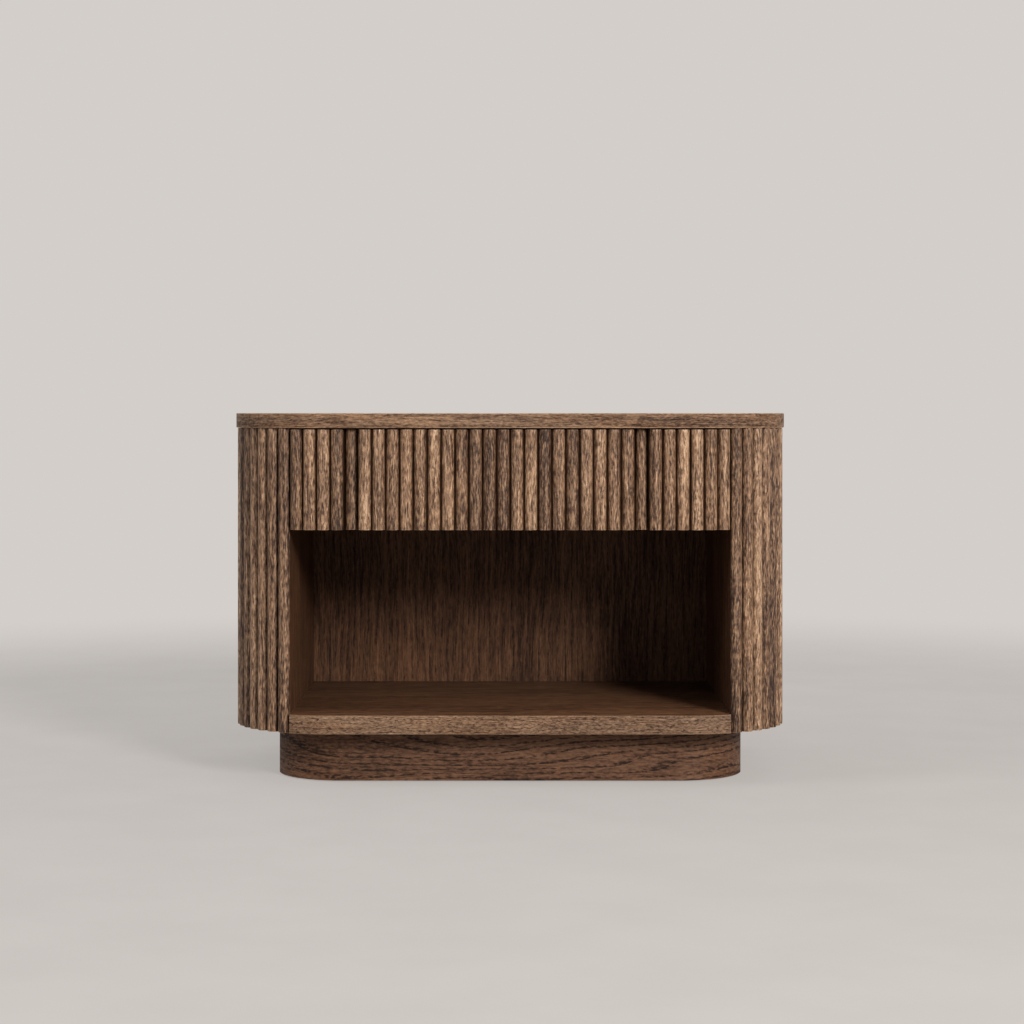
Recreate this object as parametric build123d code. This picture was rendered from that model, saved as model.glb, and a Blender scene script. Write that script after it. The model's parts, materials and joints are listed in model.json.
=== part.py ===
from build123d import *
import math
import os

# Open-shelf nightstand in dark oak. Millimetres, +Z up, the front faces -Y.
# The origin lies on the floor under the middle of the slab.

# Overall size of the slab and the whole piece
OVERALL_WIDTH = 920.0
OVERALL_DEPTH = 508.0
OVERALL_HEIGHT = 606.0
TOP_THICKNESS = 24.0
TOP_OVERHANG = 2.0
SHADOW_GAP = 2.5
CASE_REED_GAP = 0.6
FLOOR_GAP = 2.0

# Heights of the plinth, the shelf board and the open bay
PLINTH_HEIGHT = 85.5
SHELF_THICKNESS = 30.0
OPENING_HEIGHT = 299.5

# Reeds and the rounded front corners, measured to the crowns of the reeds
CORNER_RADIUS = 163.0
REED_WIDTH = 20.2
REED_HEIGHT = 10.0
REED_GAP = 2.25
PULL_REED_FROM_LEFT = 5
PULL_REED_FROM_RIGHT = 7

# Width of each side pillar, from the crowns on its side to the open bay
PILLAR_WIDTH = 100.0

# Boards of the case
PANEL_THICKNESS = 18.0
SHELL_THICKNESS = 15.0
PLATE_THICKNESS = 15.0
REAR_STILE_THICKNESS = 18.0
DECK_THICKNESS = 18.0
DECK_LAP = 4.0
RAIL_THICKNESS = 18.0
RAIL_WIDTH = 80.0
BACK_THICKNESS = 12.0
BACK_RECESS = 12.0
BACK_GROOVE = 6.0
GROOVE_CLEARANCE = 0.2

# Plinth
PLINTH_INSET = 68.5
PLINTH_RADIUS = 115.0
PLINTH_BOARD = 18.0
GLUE_BLOCK = 36.0
CLEAT_WIDTH = 30.0
CLEAT_HEIGHT = 20.0
CLEAT_END_GAP = 3.0
GLIDE_RADIUS = 11.0
GLIDE_SHANK_RADIUS = 2.0
GLIDE_SHANK_LENGTH = 14.0

# Drawer front with its two finger recesses
FRONT_THICKNESS = 24.0
FRONT_SIDE_GAP = 1.6
PULL_DEPTH = 15.0
PULL_FLANGE = 4.0
PULL_UNDERCUT = 10.0

# Drawer box
BOX_ROOM_BEHIND = 38.0
BOX_BOARD = 12.0
BOX_ROOM_BELOW = 7.0
BOX_ROOM_ABOVE = 8.0
BOX_FLOOR_THICKNESS = 6.0
BOX_FLOOR_LIFT = 10.0
BOX_GROOVE = 6.0
BUMPER_RADIUS = 4.0
BUMPER_THICKNESS = 2.0
BUMPER_EDGE = 40.0

# Telescopic runners: three nested steel channels and two ball cages on each side
RUNNER_END_GAP = 8.0
RUNNER_HEIGHT = 45.5
RUNNER_SPACE = 12.7
RUNNER_STEEL = 1.2
RUNNER_SET_BACK = 2.0
CABINET_LIP = 9.5
MIDDLE_WEB_AT = 5.0
MIDDLE_LIP = 5.8
DRAWER_LIP = 4.7
BALL_RADIUS = 1.5
BALL_CLEARANCE = 0.1
BALLS_PER_ROW = 4
BALL_SPACING = 30.0
CAGE_STEEL = 0.8
CAGE_LENGTH = 120.0
CAGE_WEB_GAP = 0.5
CAGE_REACH = 1.8

# Fasteners
DOWEL_RADIUS = 4.0
DOWEL_LENGTH = 32.0
DOWEL_IN_PANEL = 12.0
DOWEL_MARGIN = 60.0
RAIL_DOWEL_MARGIN = 20.0
SHELF_DOWELS = 4
DECK_DOWELS = 3
RAIL_DOWELS = 2
SCREW_RADIUS = 1.8
SCREW_HEAD_RADIUS = 3.6
SCREW_HEAD_HEIGHT = 2.4
FLAT_HEAD_HEIGHT = 1.0
HOLE_CLEARANCE = 0.05
TIP_ROOM = 1.0
SCREW_BITE = 15.0
RUNNER_SCREW_BITE = 10.0
RUNNER_SCREWS = 3
RUNNER_SCREW_MARGIN = 40.0
FRONT_SCREW_EDGE = 50.0
FRONT_SCREW_MARGIN = 30.0
TOP_SCREW_EDGE = 100.0

# Levels
PLINTH_TOP = FLOOR_GAP + PLINTH_HEIGHT
SHELF_TOP = PLINTH_TOP + SHELF_THICKNESS
BAND_BOTTOM = SHELF_TOP + OPENING_HEIGHT
SLAB_BOTTOM = OVERALL_HEIGHT - TOP_THICKNESS
REED_TOP = SLAB_BOTTOM - SHADOW_GAP
DECK_BOTTOM = BAND_BOTTOM + DECK_LAP
DECK_TOP = DECK_BOTTOM + DECK_THICKNESS
RAIL_BOTTOM = SLAB_BOTTOM - RAIL_THICKNESS
BOX_BOTTOM = DECK_TOP + BOX_ROOM_BELOW
BOX_TOP = RAIL_BOTTOM - BOX_ROOM_ABOVE
RUNNER_LEVEL = (BOX_BOTTOM + BOX_TOP) / 2

# Plan of the body: crown line of the reeds, and the base line that they stand on
BACK_Y = OVERALL_DEPTH / 2
CROWN_X = OVERALL_WIDTH / 2 - TOP_OVERHANG
CROWN_Y = TOP_OVERHANG - OVERALL_DEPTH / 2
CORNER_X = CROWN_X - CORNER_RADIUS
CORNER_Y = CROWN_Y + CORNER_RADIUS
BASE_RADIUS = CORNER_RADIUS - REED_HEIGHT
BASE_X = CROWN_X - REED_HEIGHT
BASE_Y = CROWN_Y + REED_HEIGHT
ARC_RUN = BASE_RADIUS * math.pi / 2

# Inner face of the pillars, in line with the inner edge of their first reed
WALL_X = CROWN_X - PILLAR_WIDTH
WALL_RUN = CORNER_X + BASE_RADIUS * math.asin((WALL_X - CORNER_X) / BASE_RADIUS) - REED_GAP / 2

# The drawer's reeds fill the bay, and the pillars' reeds go on at the same pitch
CASE_REED = round(WALL_RUN / (REED_WIDTH + REED_GAP))
REED_PITCH = WALL_RUN / CASE_REED
DRAWER_REEDS = 2 * CASE_REED
PULL_REEDS = (PULL_REED_FROM_LEFT, DRAWER_REEDS + 1 - PULL_REED_FROM_RIGHT)
CORNER_REED_END = math.floor((CORNER_X + ARC_RUN) / REED_PITCH + 0.5)
SIDE_RUN_END = CORNER_X + ARC_RUN + BACK_Y - CORNER_Y
SIDE_REED_END = math.floor((SIDE_RUN_END - REED_WIDTH / 2) / REED_PITCH + 0.5)


def base_line(run):
    """Point and turn (degrees) on the base line, at a run from the middle of the front."""
    if run <= CORNER_X:
        return run, BASE_Y, 0.0
    if run <= CORNER_X + ARC_RUN:
        turn = (run - CORNER_X) / BASE_RADIUS
        x = CORNER_X + BASE_RADIUS * math.sin(turn)
        y = CORNER_Y - BASE_RADIUS * math.cos(turn)
        return x, y, math.degrees(turn)
    return BASE_X, CORNER_Y + run - CORNER_X - ARC_RUN, 90.0


# Case in plan
PANEL_OUTER_X = WALL_X + PANEL_THICKNESS
SHELL_INNER_X = BASE_X - SHELL_THICKNESS
STILE_Y = BACK_Y - REAR_STILE_THICKNESS
BACK_REAR_Y = BACK_Y - BACK_RECESS
BACK_FRONT_Y = BACK_REAR_Y - BACK_THICKNESS

# Drawer in plan
FRONT_BACK_Y = BASE_Y + FRONT_THICKNESS
CASE_FRONT_Y = FRONT_BACK_Y + BUMPER_THICKNESS
FRONT_X = WALL_X - FRONT_SIDE_GAP
BOX_X = WALL_X - RUNNER_SPACE
BOX_INNER_X = BOX_X - BOX_BOARD
BOX_BACK_Y = BACK_FRONT_Y - BOX_ROOM_BEHIND
RUNNER_FRONT_Y = FRONT_BACK_Y + RUNNER_SET_BACK
RUNNER_BACK_Y = BOX_BACK_Y - RUNNER_END_GAP

# Plinth in plan
PLINTH_X = CROWN_X - PLINTH_INSET
PLINTH_FRONT_Y = CROWN_Y + PLINTH_INSET
PLINTH_BACK_Y = BACK_Y - PLINTH_INSET
PLINTH_INNER_X = PLINTH_X - PLINTH_BOARD
PLINTH_CORNER_X = PLINTH_X - PLINTH_RADIUS
PLINTH_CORNER_Y = PLINTH_FRONT_Y + PLINTH_RADIUS


def block(x_range, y_range, z_range):
    """Box between two corners."""
    size = [high - low for low, high in (x_range, y_range, z_range)]
    middle = [(low + high) / 2 for low, high in (x_range, y_range, z_range)]
    return Pos(*middle) * Box(*size)


def rounded_front(half_width, front, back, radius, z_range):
    """Board with a square back and two rounded front corners."""
    corner_x = half_width - radius
    corner_y = front + radius
    outline = Line((half_width, back), (half_width, corner_y))
    outline += CenterArc((corner_x, corner_y), radius, -90, 90)
    outline += Line((corner_x, front), (-corner_x, front))
    outline += CenterArc((-corner_x, corner_y), radius, 180, 90)
    outline += Line((-half_width, corner_y), (-half_width, back))
    outline += Line((-half_width, back), (half_width, back))
    low, high = z_range
    return Pos(0, 0, low) * extrude(make_face(outline), amount=high - low)


def body_board(inset, z_range):
    """Board that follows the crown line of the reeds, moved inwards by an inset."""
    return rounded_front(CROWN_X - inset, CROWN_Y + inset, BACK_Y, CORNER_RADIUS - inset, z_range)


def mirrored(solid):
    """The same piece for the left side."""
    return mirror(solid, about=Plane.YZ)


def spaced(start, end, margin, count):
    """Evenly spaced places between two ends, the outer two a margin inside them."""
    step = (end - start - 2 * margin) / (count - 1)
    return [start + margin + step * index for index in range(count)]


def both_sides(points):
    """Points on the right side, followed by their mirror images on the left."""
    return list(points) + [(-x, y, z) for x, y, z in points]


def save(node, *solids):
    """Write one node, as one solid or as a group of separate solids."""
    shape = solids[0] if len(solids) == 1 else Compound(list(solids))
    export_step(shape, f"parts/{node}.step")


def save_pair(name, *solids):
    """Write the right piece and its mirrored left piece."""
    save(f"{name}_right", *solids)
    save(f"{name}_left", *[mirrored(solid) for solid in solids])


def rod(point, direction, start, end, radius):
    """Cylinder on the line through a point, from start to end along a direction."""
    place = Plane(origin=point, z_dir=direction).location
    return place * Pos(0, 0, (start + end) / 2) * Cylinder(radius, end - start)


def screw(point, direction, length, head_height):
    """Screw whose head sits on the surface at the point."""
    head = rod(point, direction, -head_height, 0, SCREW_HEAD_RADIUS)
    return head + rod(point, direction, 0, length, SCREW_RADIUS)


def screws(points, direction, length, head_height=SCREW_HEAD_HEIGHT):
    """One screw at each point."""
    return [screw(point, direction, length, head_height) for point in points]


def screw_holes(points, direction, length):
    """Holes for the same screws, with room at the tip."""
    radius = SCREW_RADIUS + HOLE_CLEARANCE
    return [rod(point, direction, 0, length + TIP_ROOM, radius) for point in points]


def reed(run, side, z_range, sink=0.0):
    """Half-round reed on the base line, or sunk behind it, on the side +1 or -1."""
    outline = Line((REED_WIDTH / 2, 0), (-REED_WIDTH / 2, 0))
    outline += ThreePointArc((-REED_WIDTH / 2, 0), (0, -REED_HEIGHT), (REED_WIDTH / 2, 0))
    low, high = z_range
    x, y, turn = base_line(run)
    place = Pos(side * x, y + sink, low) * Rot(0, 0, side * turn)
    return place * extrude(make_face(outline), amount=high - low)


def drawer_reed_run(number):
    """Signed run from the middle of the front to a drawer reed's centre, numbered from the left."""
    return (number - 0.5 - DRAWER_REEDS / 2) * REED_PITCH


def dowel_points():
    """Dowel centres on the right wall: shelf, deck and the two top rails."""
    shelf_level = (PLINTH_TOP + SHELF_TOP) / 2
    deck_level = (DECK_BOTTOM + DECK_TOP) / 2
    rail_level = (RAIL_BOTTOM + SLAB_BOTTOM) / 2
    points = [(WALL_X, y, shelf_level) for y in spaced(BASE_Y, BACK_Y, DOWEL_MARGIN, SHELF_DOWELS)]
    points += [(WALL_X, y, deck_level) for y in spaced(CASE_FRONT_Y, BACK_FRONT_Y, DOWEL_MARGIN, DECK_DOWELS)]
    for rail_front in (CASE_FRONT_Y, BACK_FRONT_Y - RAIL_WIDTH):
        rail_ys = spaced(rail_front, rail_front + RAIL_WIDTH, RAIL_DOWEL_MARGIN, RAIL_DOWELS)
        points += [(WALL_X, y, rail_level) for y in rail_ys]
    return points


# Dowels between the inner side panels and the boards that span them
DOWEL_POINTS = dowel_points()
DOWEL_IN_BOARD = DOWEL_LENGTH - DOWEL_IN_PANEL
DOWEL_HOLES = [
    rod(point, (1, 0, 0), -DOWEL_IN_BOARD - TIP_ROOM, DOWEL_IN_PANEL + TIP_ROOM,
        DOWEL_RADIUS + HOLE_CLEARANCE)
    for point in DOWEL_POINTS
]
ALL_DOWEL_HOLES = DOWEL_HOLES + [mirrored(hole) for hole in DOWEL_HOLES]

# Screw positions
RUNNER_SCREW_LENGTH = RUNNER_STEEL + RUNNER_SCREW_BITE
RUNNER_SCREW_YS = spaced(RUNNER_FRONT_Y, RUNNER_BACK_Y, RUNNER_SCREW_MARGIN, RUNNER_SCREWS)
CASE_RUNNER_POINTS = [(WALL_X - RUNNER_STEEL, y, RUNNER_LEVEL) for y in RUNNER_SCREW_YS]
BOX_RUNNER_POINTS = [(BOX_X + RUNNER_STEEL, y, RUNNER_LEVEL) for y in RUNNER_SCREW_YS]
TOP_SCREW_LENGTH = RAIL_THICKNESS + SCREW_BITE
TOP_SCREW_XS = (TOP_SCREW_EDGE - WALL_X, 0.0, WALL_X - TOP_SCREW_EDGE)
TOP_SCREW_YS = (CASE_FRONT_Y + RAIL_WIDTH / 2, BACK_FRONT_Y - RAIL_WIDTH / 2)
TOP_POINTS = [(x, y, RAIL_BOTTOM) for x in TOP_SCREW_XS for y in TOP_SCREW_YS]
BACK_SCREW_LEVELS = ((DECK_BOTTOM + DECK_TOP) / 2, (RAIL_BOTTOM + SLAB_BOTTOM) / 2)
BACK_POINTS = [(x, BACK_REAR_Y, z) for x in TOP_SCREW_XS for z in BACK_SCREW_LEVELS]
FRONT_SCREW_LENGTH = BOX_BOARD + SCREW_BITE
FRONT_POINTS = both_sides([
    (BOX_INNER_X - FRONT_SCREW_EDGE, FRONT_BACK_Y + BOX_BOARD, z)
    for z in (BOX_BOTTOM + FRONT_SCREW_MARGIN, BOX_TOP - FRONT_SCREW_MARGIN)
])
CLEAT_FAR_X = PLINTH_CORNER_X - GLUE_BLOCK / 2 - CLEAT_END_GAP
CLEAT_NEAR_X = PLINTH_BOARD / 2 + CLEAT_END_GAP
CLEAT_FRONT_Y = PLINTH_FRONT_Y + PLINTH_BOARD
CLEAT_BACK_Y = PLINTH_BACK_Y - PLINTH_BOARD
CLEAT_BOTTOM = PLINTH_TOP - CLEAT_HEIGHT
CLEAT_POINTS = both_sides([
    (x, y, CLEAT_BOTTOM)
    for x in (CLEAT_NEAR_X + CLEAT_WIDTH, CLEAT_FAR_X - CLEAT_WIDTH)
    for y in (CLEAT_FRONT_Y + CLEAT_WIDTH / 2, CLEAT_BACK_Y - CLEAT_WIDTH / 2)
])
CLEAT_SCREW_LENGTH = CLEAT_HEIGHT + SCREW_BITE
TOP_HOLES = screw_holes(TOP_POINTS, (0, 0, 1), TOP_SCREW_LENGTH)
BACK_HOLES = screw_holes(BACK_POINTS, (0, -1, 0), BACK_THICKNESS + SCREW_BITE)
FRONT_HOLES = screw_holes(FRONT_POINTS, (0, -1, 0), FRONT_SCREW_LENGTH)
CLEAT_HOLES = screw_holes(CLEAT_POINTS, (0, 0, 1), CLEAT_SCREW_LENGTH)


def make_slab():
    """Top slab, a little wider than the reeds below it."""
    slab = body_board(-TOP_OVERHANG, (SLAB_BOTTOM, OVERALL_HEIGHT))
    save("top_slab", slab - TOP_HOLES)


def make_sides():
    """Two hollow side pillars: inner panel, bent corner, outer panel, stile and end plates."""
    levels = (PLINTH_TOP, SLAB_BOTTOM)
    core = body_board(REED_HEIGHT, levels)
    runner_holes = screw_holes(CASE_RUNNER_POINTS, (1, 0, 0), RUNNER_SCREW_LENGTH)
    panel = core & block((WALL_X, PANEL_OUTER_X), (BASE_Y, BACK_Y), levels)
    groove = block(
        (WALL_X, WALL_X + BACK_GROOVE),
        (BACK_FRONT_Y, BACK_REAR_Y + GROOVE_CLEARANCE),
        (SHELF_TOP, SLAB_BOTTOM),
    )
    save_pair("inner_side_panel", panel - groove - DOWEL_HOLES - runner_holes)

    cavity = body_board(REED_HEIGHT + SHELL_THICKNESS, levels)
    corner = block((PANEL_OUTER_X, BASE_X), (BASE_Y, CORNER_Y), levels)
    save_pair("corner_shell", (core - cavity) & corner)
    save_pair("outer_side_panel", block((SHELL_INNER_X, BASE_X), (CORNER_Y, BACK_Y), levels))
    save_pair("rear_stile", block((PANEL_OUTER_X, SHELL_INNER_X), (STILE_Y, BACK_Y), levels))

    room = ((PANEL_OUTER_X, SHELL_INNER_X), (BASE_Y, STILE_Y))
    save_pair("side_top_plate", cavity & block(*room, (SLAB_BOTTOM - PLATE_THICKNESS, SLAB_BOTTOM)))
    save_pair("side_bottom_plate", cavity & block(*room, (PLINTH_TOP, PLINTH_TOP + PLATE_THICKNESS)))


def make_case_reeds():
    """Reeds on the rounded corners and on the flat sides, a hair short of the slab."""
    levels = (PLINTH_TOP, SLAB_BOTTOM - CASE_REED_GAP)
    corner = [reed((i + 0.5) * REED_PITCH, 1, levels) for i in range(CASE_REED, CORNER_REED_END)]
    side = [reed((i + 0.5) * REED_PITCH, 1, levels) for i in range(CORNER_REED_END, SIDE_REED_END)]
    save_pair("corner_reeds", *corner)
    save_pair("side_reeds", *side)


def make_boards():
    """Shelf, drawer deck, top rails and back panel, all between the inner side panels."""
    width = (-WALL_X, WALL_X)
    shelf = body_board(0, (PLINTH_TOP, SHELF_TOP)) & block(width, (CROWN_Y, BACK_Y), (PLINTH_TOP, SHELF_TOP))
    save("bottom_shelf", shelf - ALL_DOWEL_HOLES - CLEAT_HOLES)

    deck = block(width, (CASE_FRONT_Y, BACK_FRONT_Y), (DECK_BOTTOM, DECK_TOP))
    save("drawer_deck", deck - ALL_DOWEL_HOLES - BACK_HOLES)

    rail_levels = (RAIL_BOTTOM, SLAB_BOTTOM)
    front_rail = block(width, (CASE_FRONT_Y, CASE_FRONT_Y + RAIL_WIDTH), rail_levels)
    save("top_front_rail", front_rail - ALL_DOWEL_HOLES - TOP_HOLES)
    back_rail = block(width, (BACK_FRONT_Y - RAIL_WIDTH, BACK_FRONT_Y), rail_levels)
    save("top_back_rail", back_rail - ALL_DOWEL_HOLES - TOP_HOLES - BACK_HOLES)

    reach = WALL_X + BACK_GROOVE - GROOVE_CLEARANCE
    back = block((-reach, reach), (BACK_FRONT_Y, BACK_REAR_Y), (SHELF_TOP, SLAB_BOTTOM))
    save("back_panel", back - BACK_HOLES)


def make_plinth():
    """Recessed plinth: straight boards, two bent corners, blocks, cleats, rail and glides."""
    levels = (FLOOR_GAP, PLINTH_TOP)
    straight = (-PLINTH_CORNER_X, PLINTH_CORNER_X)
    save("plinth_front", block(straight, (PLINTH_FRONT_Y, CLEAT_FRONT_Y), levels))
    save_pair("plinth_side", block((PLINTH_INNER_X, PLINTH_X), (PLINTH_CORNER_Y, PLINTH_BACK_Y), levels))
    save("plinth_back", block((-PLINTH_INNER_X, PLINTH_INNER_X), (CLEAT_BACK_Y, PLINTH_BACK_Y), levels))

    outer = rounded_front(PLINTH_X, PLINTH_FRONT_Y, PLINTH_BACK_Y, PLINTH_RADIUS, levels)
    room = rounded_front(PLINTH_INNER_X, CLEAT_FRONT_Y, CLEAT_BACK_Y, PLINTH_RADIUS - PLINTH_BOARD, levels)
    bend = block((PLINTH_CORNER_X, PLINTH_X), (PLINTH_FRONT_Y, PLINTH_CORNER_Y), levels)
    save_pair("plinth_corner", (outer - room) & bend)

    half = GLUE_BLOCK / 2
    block_middles = [
        (PLINTH_CORNER_X, CLEAT_FRONT_Y + half),
        (PLINTH_INNER_X - half, PLINTH_CORNER_Y),
        (PLINTH_INNER_X - half, CLEAT_BACK_Y - half),
    ]
    glide_points = both_sides([(x, y, FLOOR_GAP) for x, y in block_middles])
    hole_radius = GLIDE_SHANK_RADIUS + HOLE_CLEARANCE
    hole_depth = GLIDE_SHANK_LENGTH + TIP_ROOM
    shank_holes = [rod(point, (0, 0, 1), 0, hole_depth, hole_radius) for point in glide_points]
    blocks = [
        (room & block((x - half, x + half), (y - half, y + half), levels)) - shank_holes
        for x, y in block_middles
    ]
    save("plinth_glue_blocks", *blocks, *[mirrored(piece) for piece in blocks])

    glides = [
        rod(point, (0, 0, 1), -FLOOR_GAP, 0, GLIDE_RADIUS)
        + rod(point, (0, 0, 1), 0, GLIDE_SHANK_LENGTH, GLIDE_SHANK_RADIUS)
        for point in glide_points
    ]
    save("floor_glides", *glides)

    middle = (-PLINTH_BOARD / 2, PLINTH_BOARD / 2)
    save("plinth_cross_rail", block(middle, (CLEAT_FRONT_Y, CLEAT_BACK_Y), levels))

    cleat_ys = ((CLEAT_FRONT_Y, CLEAT_FRONT_Y + CLEAT_WIDTH), (CLEAT_BACK_Y - CLEAT_WIDTH, CLEAT_BACK_Y))
    cleats = [
        block((CLEAT_NEAR_X, CLEAT_FAR_X), y_range, (CLEAT_BOTTOM, PLINTH_TOP)) - CLEAT_HOLES
        for y_range in cleat_ys
    ]
    save("plinth_cleats", *cleats, *[mirrored(cleat) for cleat in cleats])


def make_drawer_front():
    """Drawer front: a panel with curved ends, its reeds and the two reeds set back for the fingers."""
    levels = (BAND_BOTTOM, REED_TOP)
    panel = body_board(REED_HEIGHT, levels) & block((-FRONT_X, FRONT_X), (BASE_Y, FRONT_BACK_Y), levels)
    floor_y = BASE_Y + PULL_DEPTH
    for number in PULL_REEDS:
        left = drawer_reed_run(number) - REED_PITCH / 2
        right = left + REED_PITCH
        panel -= block((left, right), (BASE_Y, floor_y), levels)
        panel -= block((right, right + PULL_UNDERCUT), (BASE_Y + PULL_FLANGE, floor_y), levels)
    save("drawer_front_panel", panel - FRONT_HOLES)

    reeds = []
    pulls = []
    for number in range(1, DRAWER_REEDS + 1):
        run = drawer_reed_run(number)
        side = 1 if run > 0 else -1
        if number in PULL_REEDS:
            pulls.append(reed(abs(run), side, levels, PULL_DEPTH))
        else:
            reeds.append(reed(abs(run), side, levels))
    save("drawer_front_reeds", *reeds)
    save("finger_pull_reeds", *pulls)


def make_drawer_box():
    """Drawer box with its floor held in grooves, and the bumpers that it closes on."""
    levels = (BOX_BOTTOM, BOX_TOP)
    floor_low = BOX_BOTTOM + BOX_FLOOR_LIFT
    floor_high = floor_low + BOX_FLOOR_THICKNESS
    reach_x = BOX_INNER_X + BOX_GROOVE
    front_y = FRONT_BACK_Y + BOX_BOARD
    back_y = BOX_BACK_Y - BOX_BOARD
    groove = block(
        (-reach_x, reach_x),
        (front_y - BOX_GROOVE, back_y + BOX_GROOVE),
        (floor_low, floor_high + GROOVE_CLEARANCE),
    )
    holes = screw_holes(BOX_RUNNER_POINTS, (-1, 0, 0), RUNNER_SCREW_LENGTH)
    side = block((BOX_INNER_X, BOX_X), (FRONT_BACK_Y, BOX_BACK_Y), levels)
    save_pair("drawer_side", side - groove - holes)
    width = (-BOX_INNER_X, BOX_INNER_X)
    save("drawer_box_front", block(width, (FRONT_BACK_Y, front_y), levels) - groove - FRONT_HOLES)
    save("drawer_box_back", block(width, (back_y, BOX_BACK_Y), levels) - groove)
    slack = BOX_GROOVE - GROOVE_CLEARANCE
    floor_x = (-BOX_INNER_X - slack, BOX_INNER_X + slack)
    floor_y = (front_y - slack, back_y + slack)
    save("drawer_bottom", block(floor_x, floor_y, (floor_low, floor_high)))

    bumper_x = WALL_X - BUMPER_EDGE
    bumper_levels = ((DECK_BOTTOM + DECK_TOP) / 2, (RAIL_BOTTOM + SLAB_BOTTOM) / 2)
    points = both_sides([(bumper_x, CASE_FRONT_Y, z) for z in bumper_levels])
    save("drawer_bumpers", *[rod(point, (0, -1, 0), 0, BUMPER_THICKNESS, BUMPER_RADIUS) for point in points])


def channel(web_from, web_to, lip_to, half_height, y_range):
    """Steel channel beside the right wall, measured from the wall towards the drawer."""
    steel = abs(web_to - web_from)
    web = sorted((WALL_X - web_from, WALL_X - web_to))
    lip = sorted((WALL_X - web_from, WALL_X - lip_to))
    lower = (RUNNER_LEVEL - half_height, RUNNER_LEVEL - half_height + steel)
    upper = (RUNNER_LEVEL + half_height - steel, RUNNER_LEVEL + half_height)
    shape = block(web, y_range, (lower[0], upper[1]))
    return shape + block(lip, y_range, lower) + block(lip, y_range, upper)


def ball_cage(web_from, ball_at, race_half, y_range):
    """Ball cage and its balls, around a channel whose races lie at the race half height."""
    lip_to = ball_at + CAGE_REACH
    half_height = race_half + BALL_RADIUS + BALL_CLEARANCE + CAGE_STEEL / 2
    cage = channel(web_from, web_from + CAGE_STEEL, lip_to, half_height, y_range)
    first = (y_range[0] + y_range[1] - BALL_SPACING * (BALLS_PER_ROW - 1)) / 2
    row_level = half_height - CAGE_STEEL / 2
    balls = []
    for index in range(BALLS_PER_ROW):
        for level in (RUNNER_LEVEL - row_level, RUNNER_LEVEL + row_level):
            centre = (WALL_X - ball_at, first + BALL_SPACING * index, level)
            cage -= rod(centre, (0, 0, 1), -CAGE_STEEL, CAGE_STEEL, BALL_RADIUS + BALL_CLEARANCE)
            balls.append(Pos(*centre) * Sphere(BALL_RADIUS))
    return [cage, *balls]


def make_runners():
    """Two telescopic runners, each with three channels and two ball cages."""
    length = (RUNNER_FRONT_Y, RUNNER_BACK_Y)
    ball_gap = 2 * (BALL_RADIUS + BALL_CLEARANCE)
    cabinet_half = RUNNER_HEIGHT / 2
    middle_half = cabinet_half - RUNNER_STEEL - ball_gap
    drawer_half = middle_half - RUNNER_STEEL - ball_gap
    middle_lip_to = MIDDLE_WEB_AT + MIDDLE_LIP
    drawer_web_at = RUNNER_SPACE - RUNNER_STEEL
    drawer_lip_to = RUNNER_SPACE - DRAWER_LIP

    cabinet = channel(0, RUNNER_STEEL, CABINET_LIP, cabinet_half, length)
    save_pair("runner_cabinet_channel", cabinet - screw_holes(CASE_RUNNER_POINTS, (1, 0, 0), RUNNER_STEEL))
    middle_web_to = MIDDLE_WEB_AT + RUNNER_STEEL
    save_pair("runner_middle_channel", channel(MIDDLE_WEB_AT, middle_web_to, middle_lip_to, middle_half, length))
    drawer = channel(RUNNER_SPACE, drawer_web_at, drawer_lip_to, drawer_half, length)
    save_pair("runner_drawer_channel", drawer - screw_holes(BOX_RUNNER_POINTS, (-1, 0, 0), RUNNER_STEEL))

    middle_y = (RUNNER_FRONT_Y + RUNNER_BACK_Y) / 2
    cage_length = (middle_y - CAGE_LENGTH / 2, middle_y + CAGE_LENGTH / 2)
    outer_ball_at = (MIDDLE_WEB_AT + CABINET_LIP) / 2
    outer_web = MIDDLE_WEB_AT - CAGE_STEEL - CAGE_WEB_GAP
    save_pair("outer_ball_cage", *ball_cage(outer_web, outer_ball_at, middle_half, cage_length))
    inner_ball_at = (drawer_lip_to + middle_lip_to) / 2
    inner_web = middle_web_to + CAGE_WEB_GAP
    save_pair("inner_ball_cage", *ball_cage(inner_web, inner_ball_at, drawer_half, cage_length))


def make_fasteners():
    """Dowels and screws, each kind as one group."""
    dowels = [rod(point, (1, 0, 0), -DOWEL_IN_BOARD, DOWEL_IN_PANEL, DOWEL_RADIUS) for point in DOWEL_POINTS]
    save("carcass_dowels", *dowels, *[mirrored(dowel) for dowel in dowels])
    case = screws(CASE_RUNNER_POINTS, (1, 0, 0), RUNNER_SCREW_LENGTH, FLAT_HEAD_HEIGHT)
    save("runner_screws_case", *case, *[mirrored(piece) for piece in case])
    box = screws(BOX_RUNNER_POINTS, (-1, 0, 0), RUNNER_SCREW_LENGTH, FLAT_HEAD_HEIGHT)
    save("runner_screws_drawer", *box, *[mirrored(piece) for piece in box])
    save("top_fixing_screws", *screws(TOP_POINTS, (0, 0, 1), TOP_SCREW_LENGTH))
    save("back_panel_screws", *screws(BACK_POINTS, (0, -1, 0), BACK_THICKNESS + SCREW_BITE))
    save("drawer_front_screws", *screws(FRONT_POINTS, (0, -1, 0), FRONT_SCREW_LENGTH))
    save("plinth_screws", *screws(CLEAT_POINTS, (0, 0, 1), CLEAT_SCREW_LENGTH))


os.makedirs("parts", exist_ok=True)
make_slab()
make_sides()
make_case_reeds()
make_boards()
make_plinth()
make_drawer_front()
make_drawer_box()
make_runners()
make_fasteners()
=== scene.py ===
"""Open-shelf nightstand in dark brushed oak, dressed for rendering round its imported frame."""

import json
import logging
import math
from dataclasses import dataclass, field, replace
from enum import Enum
from typing import Any, Callable, Iterable

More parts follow.
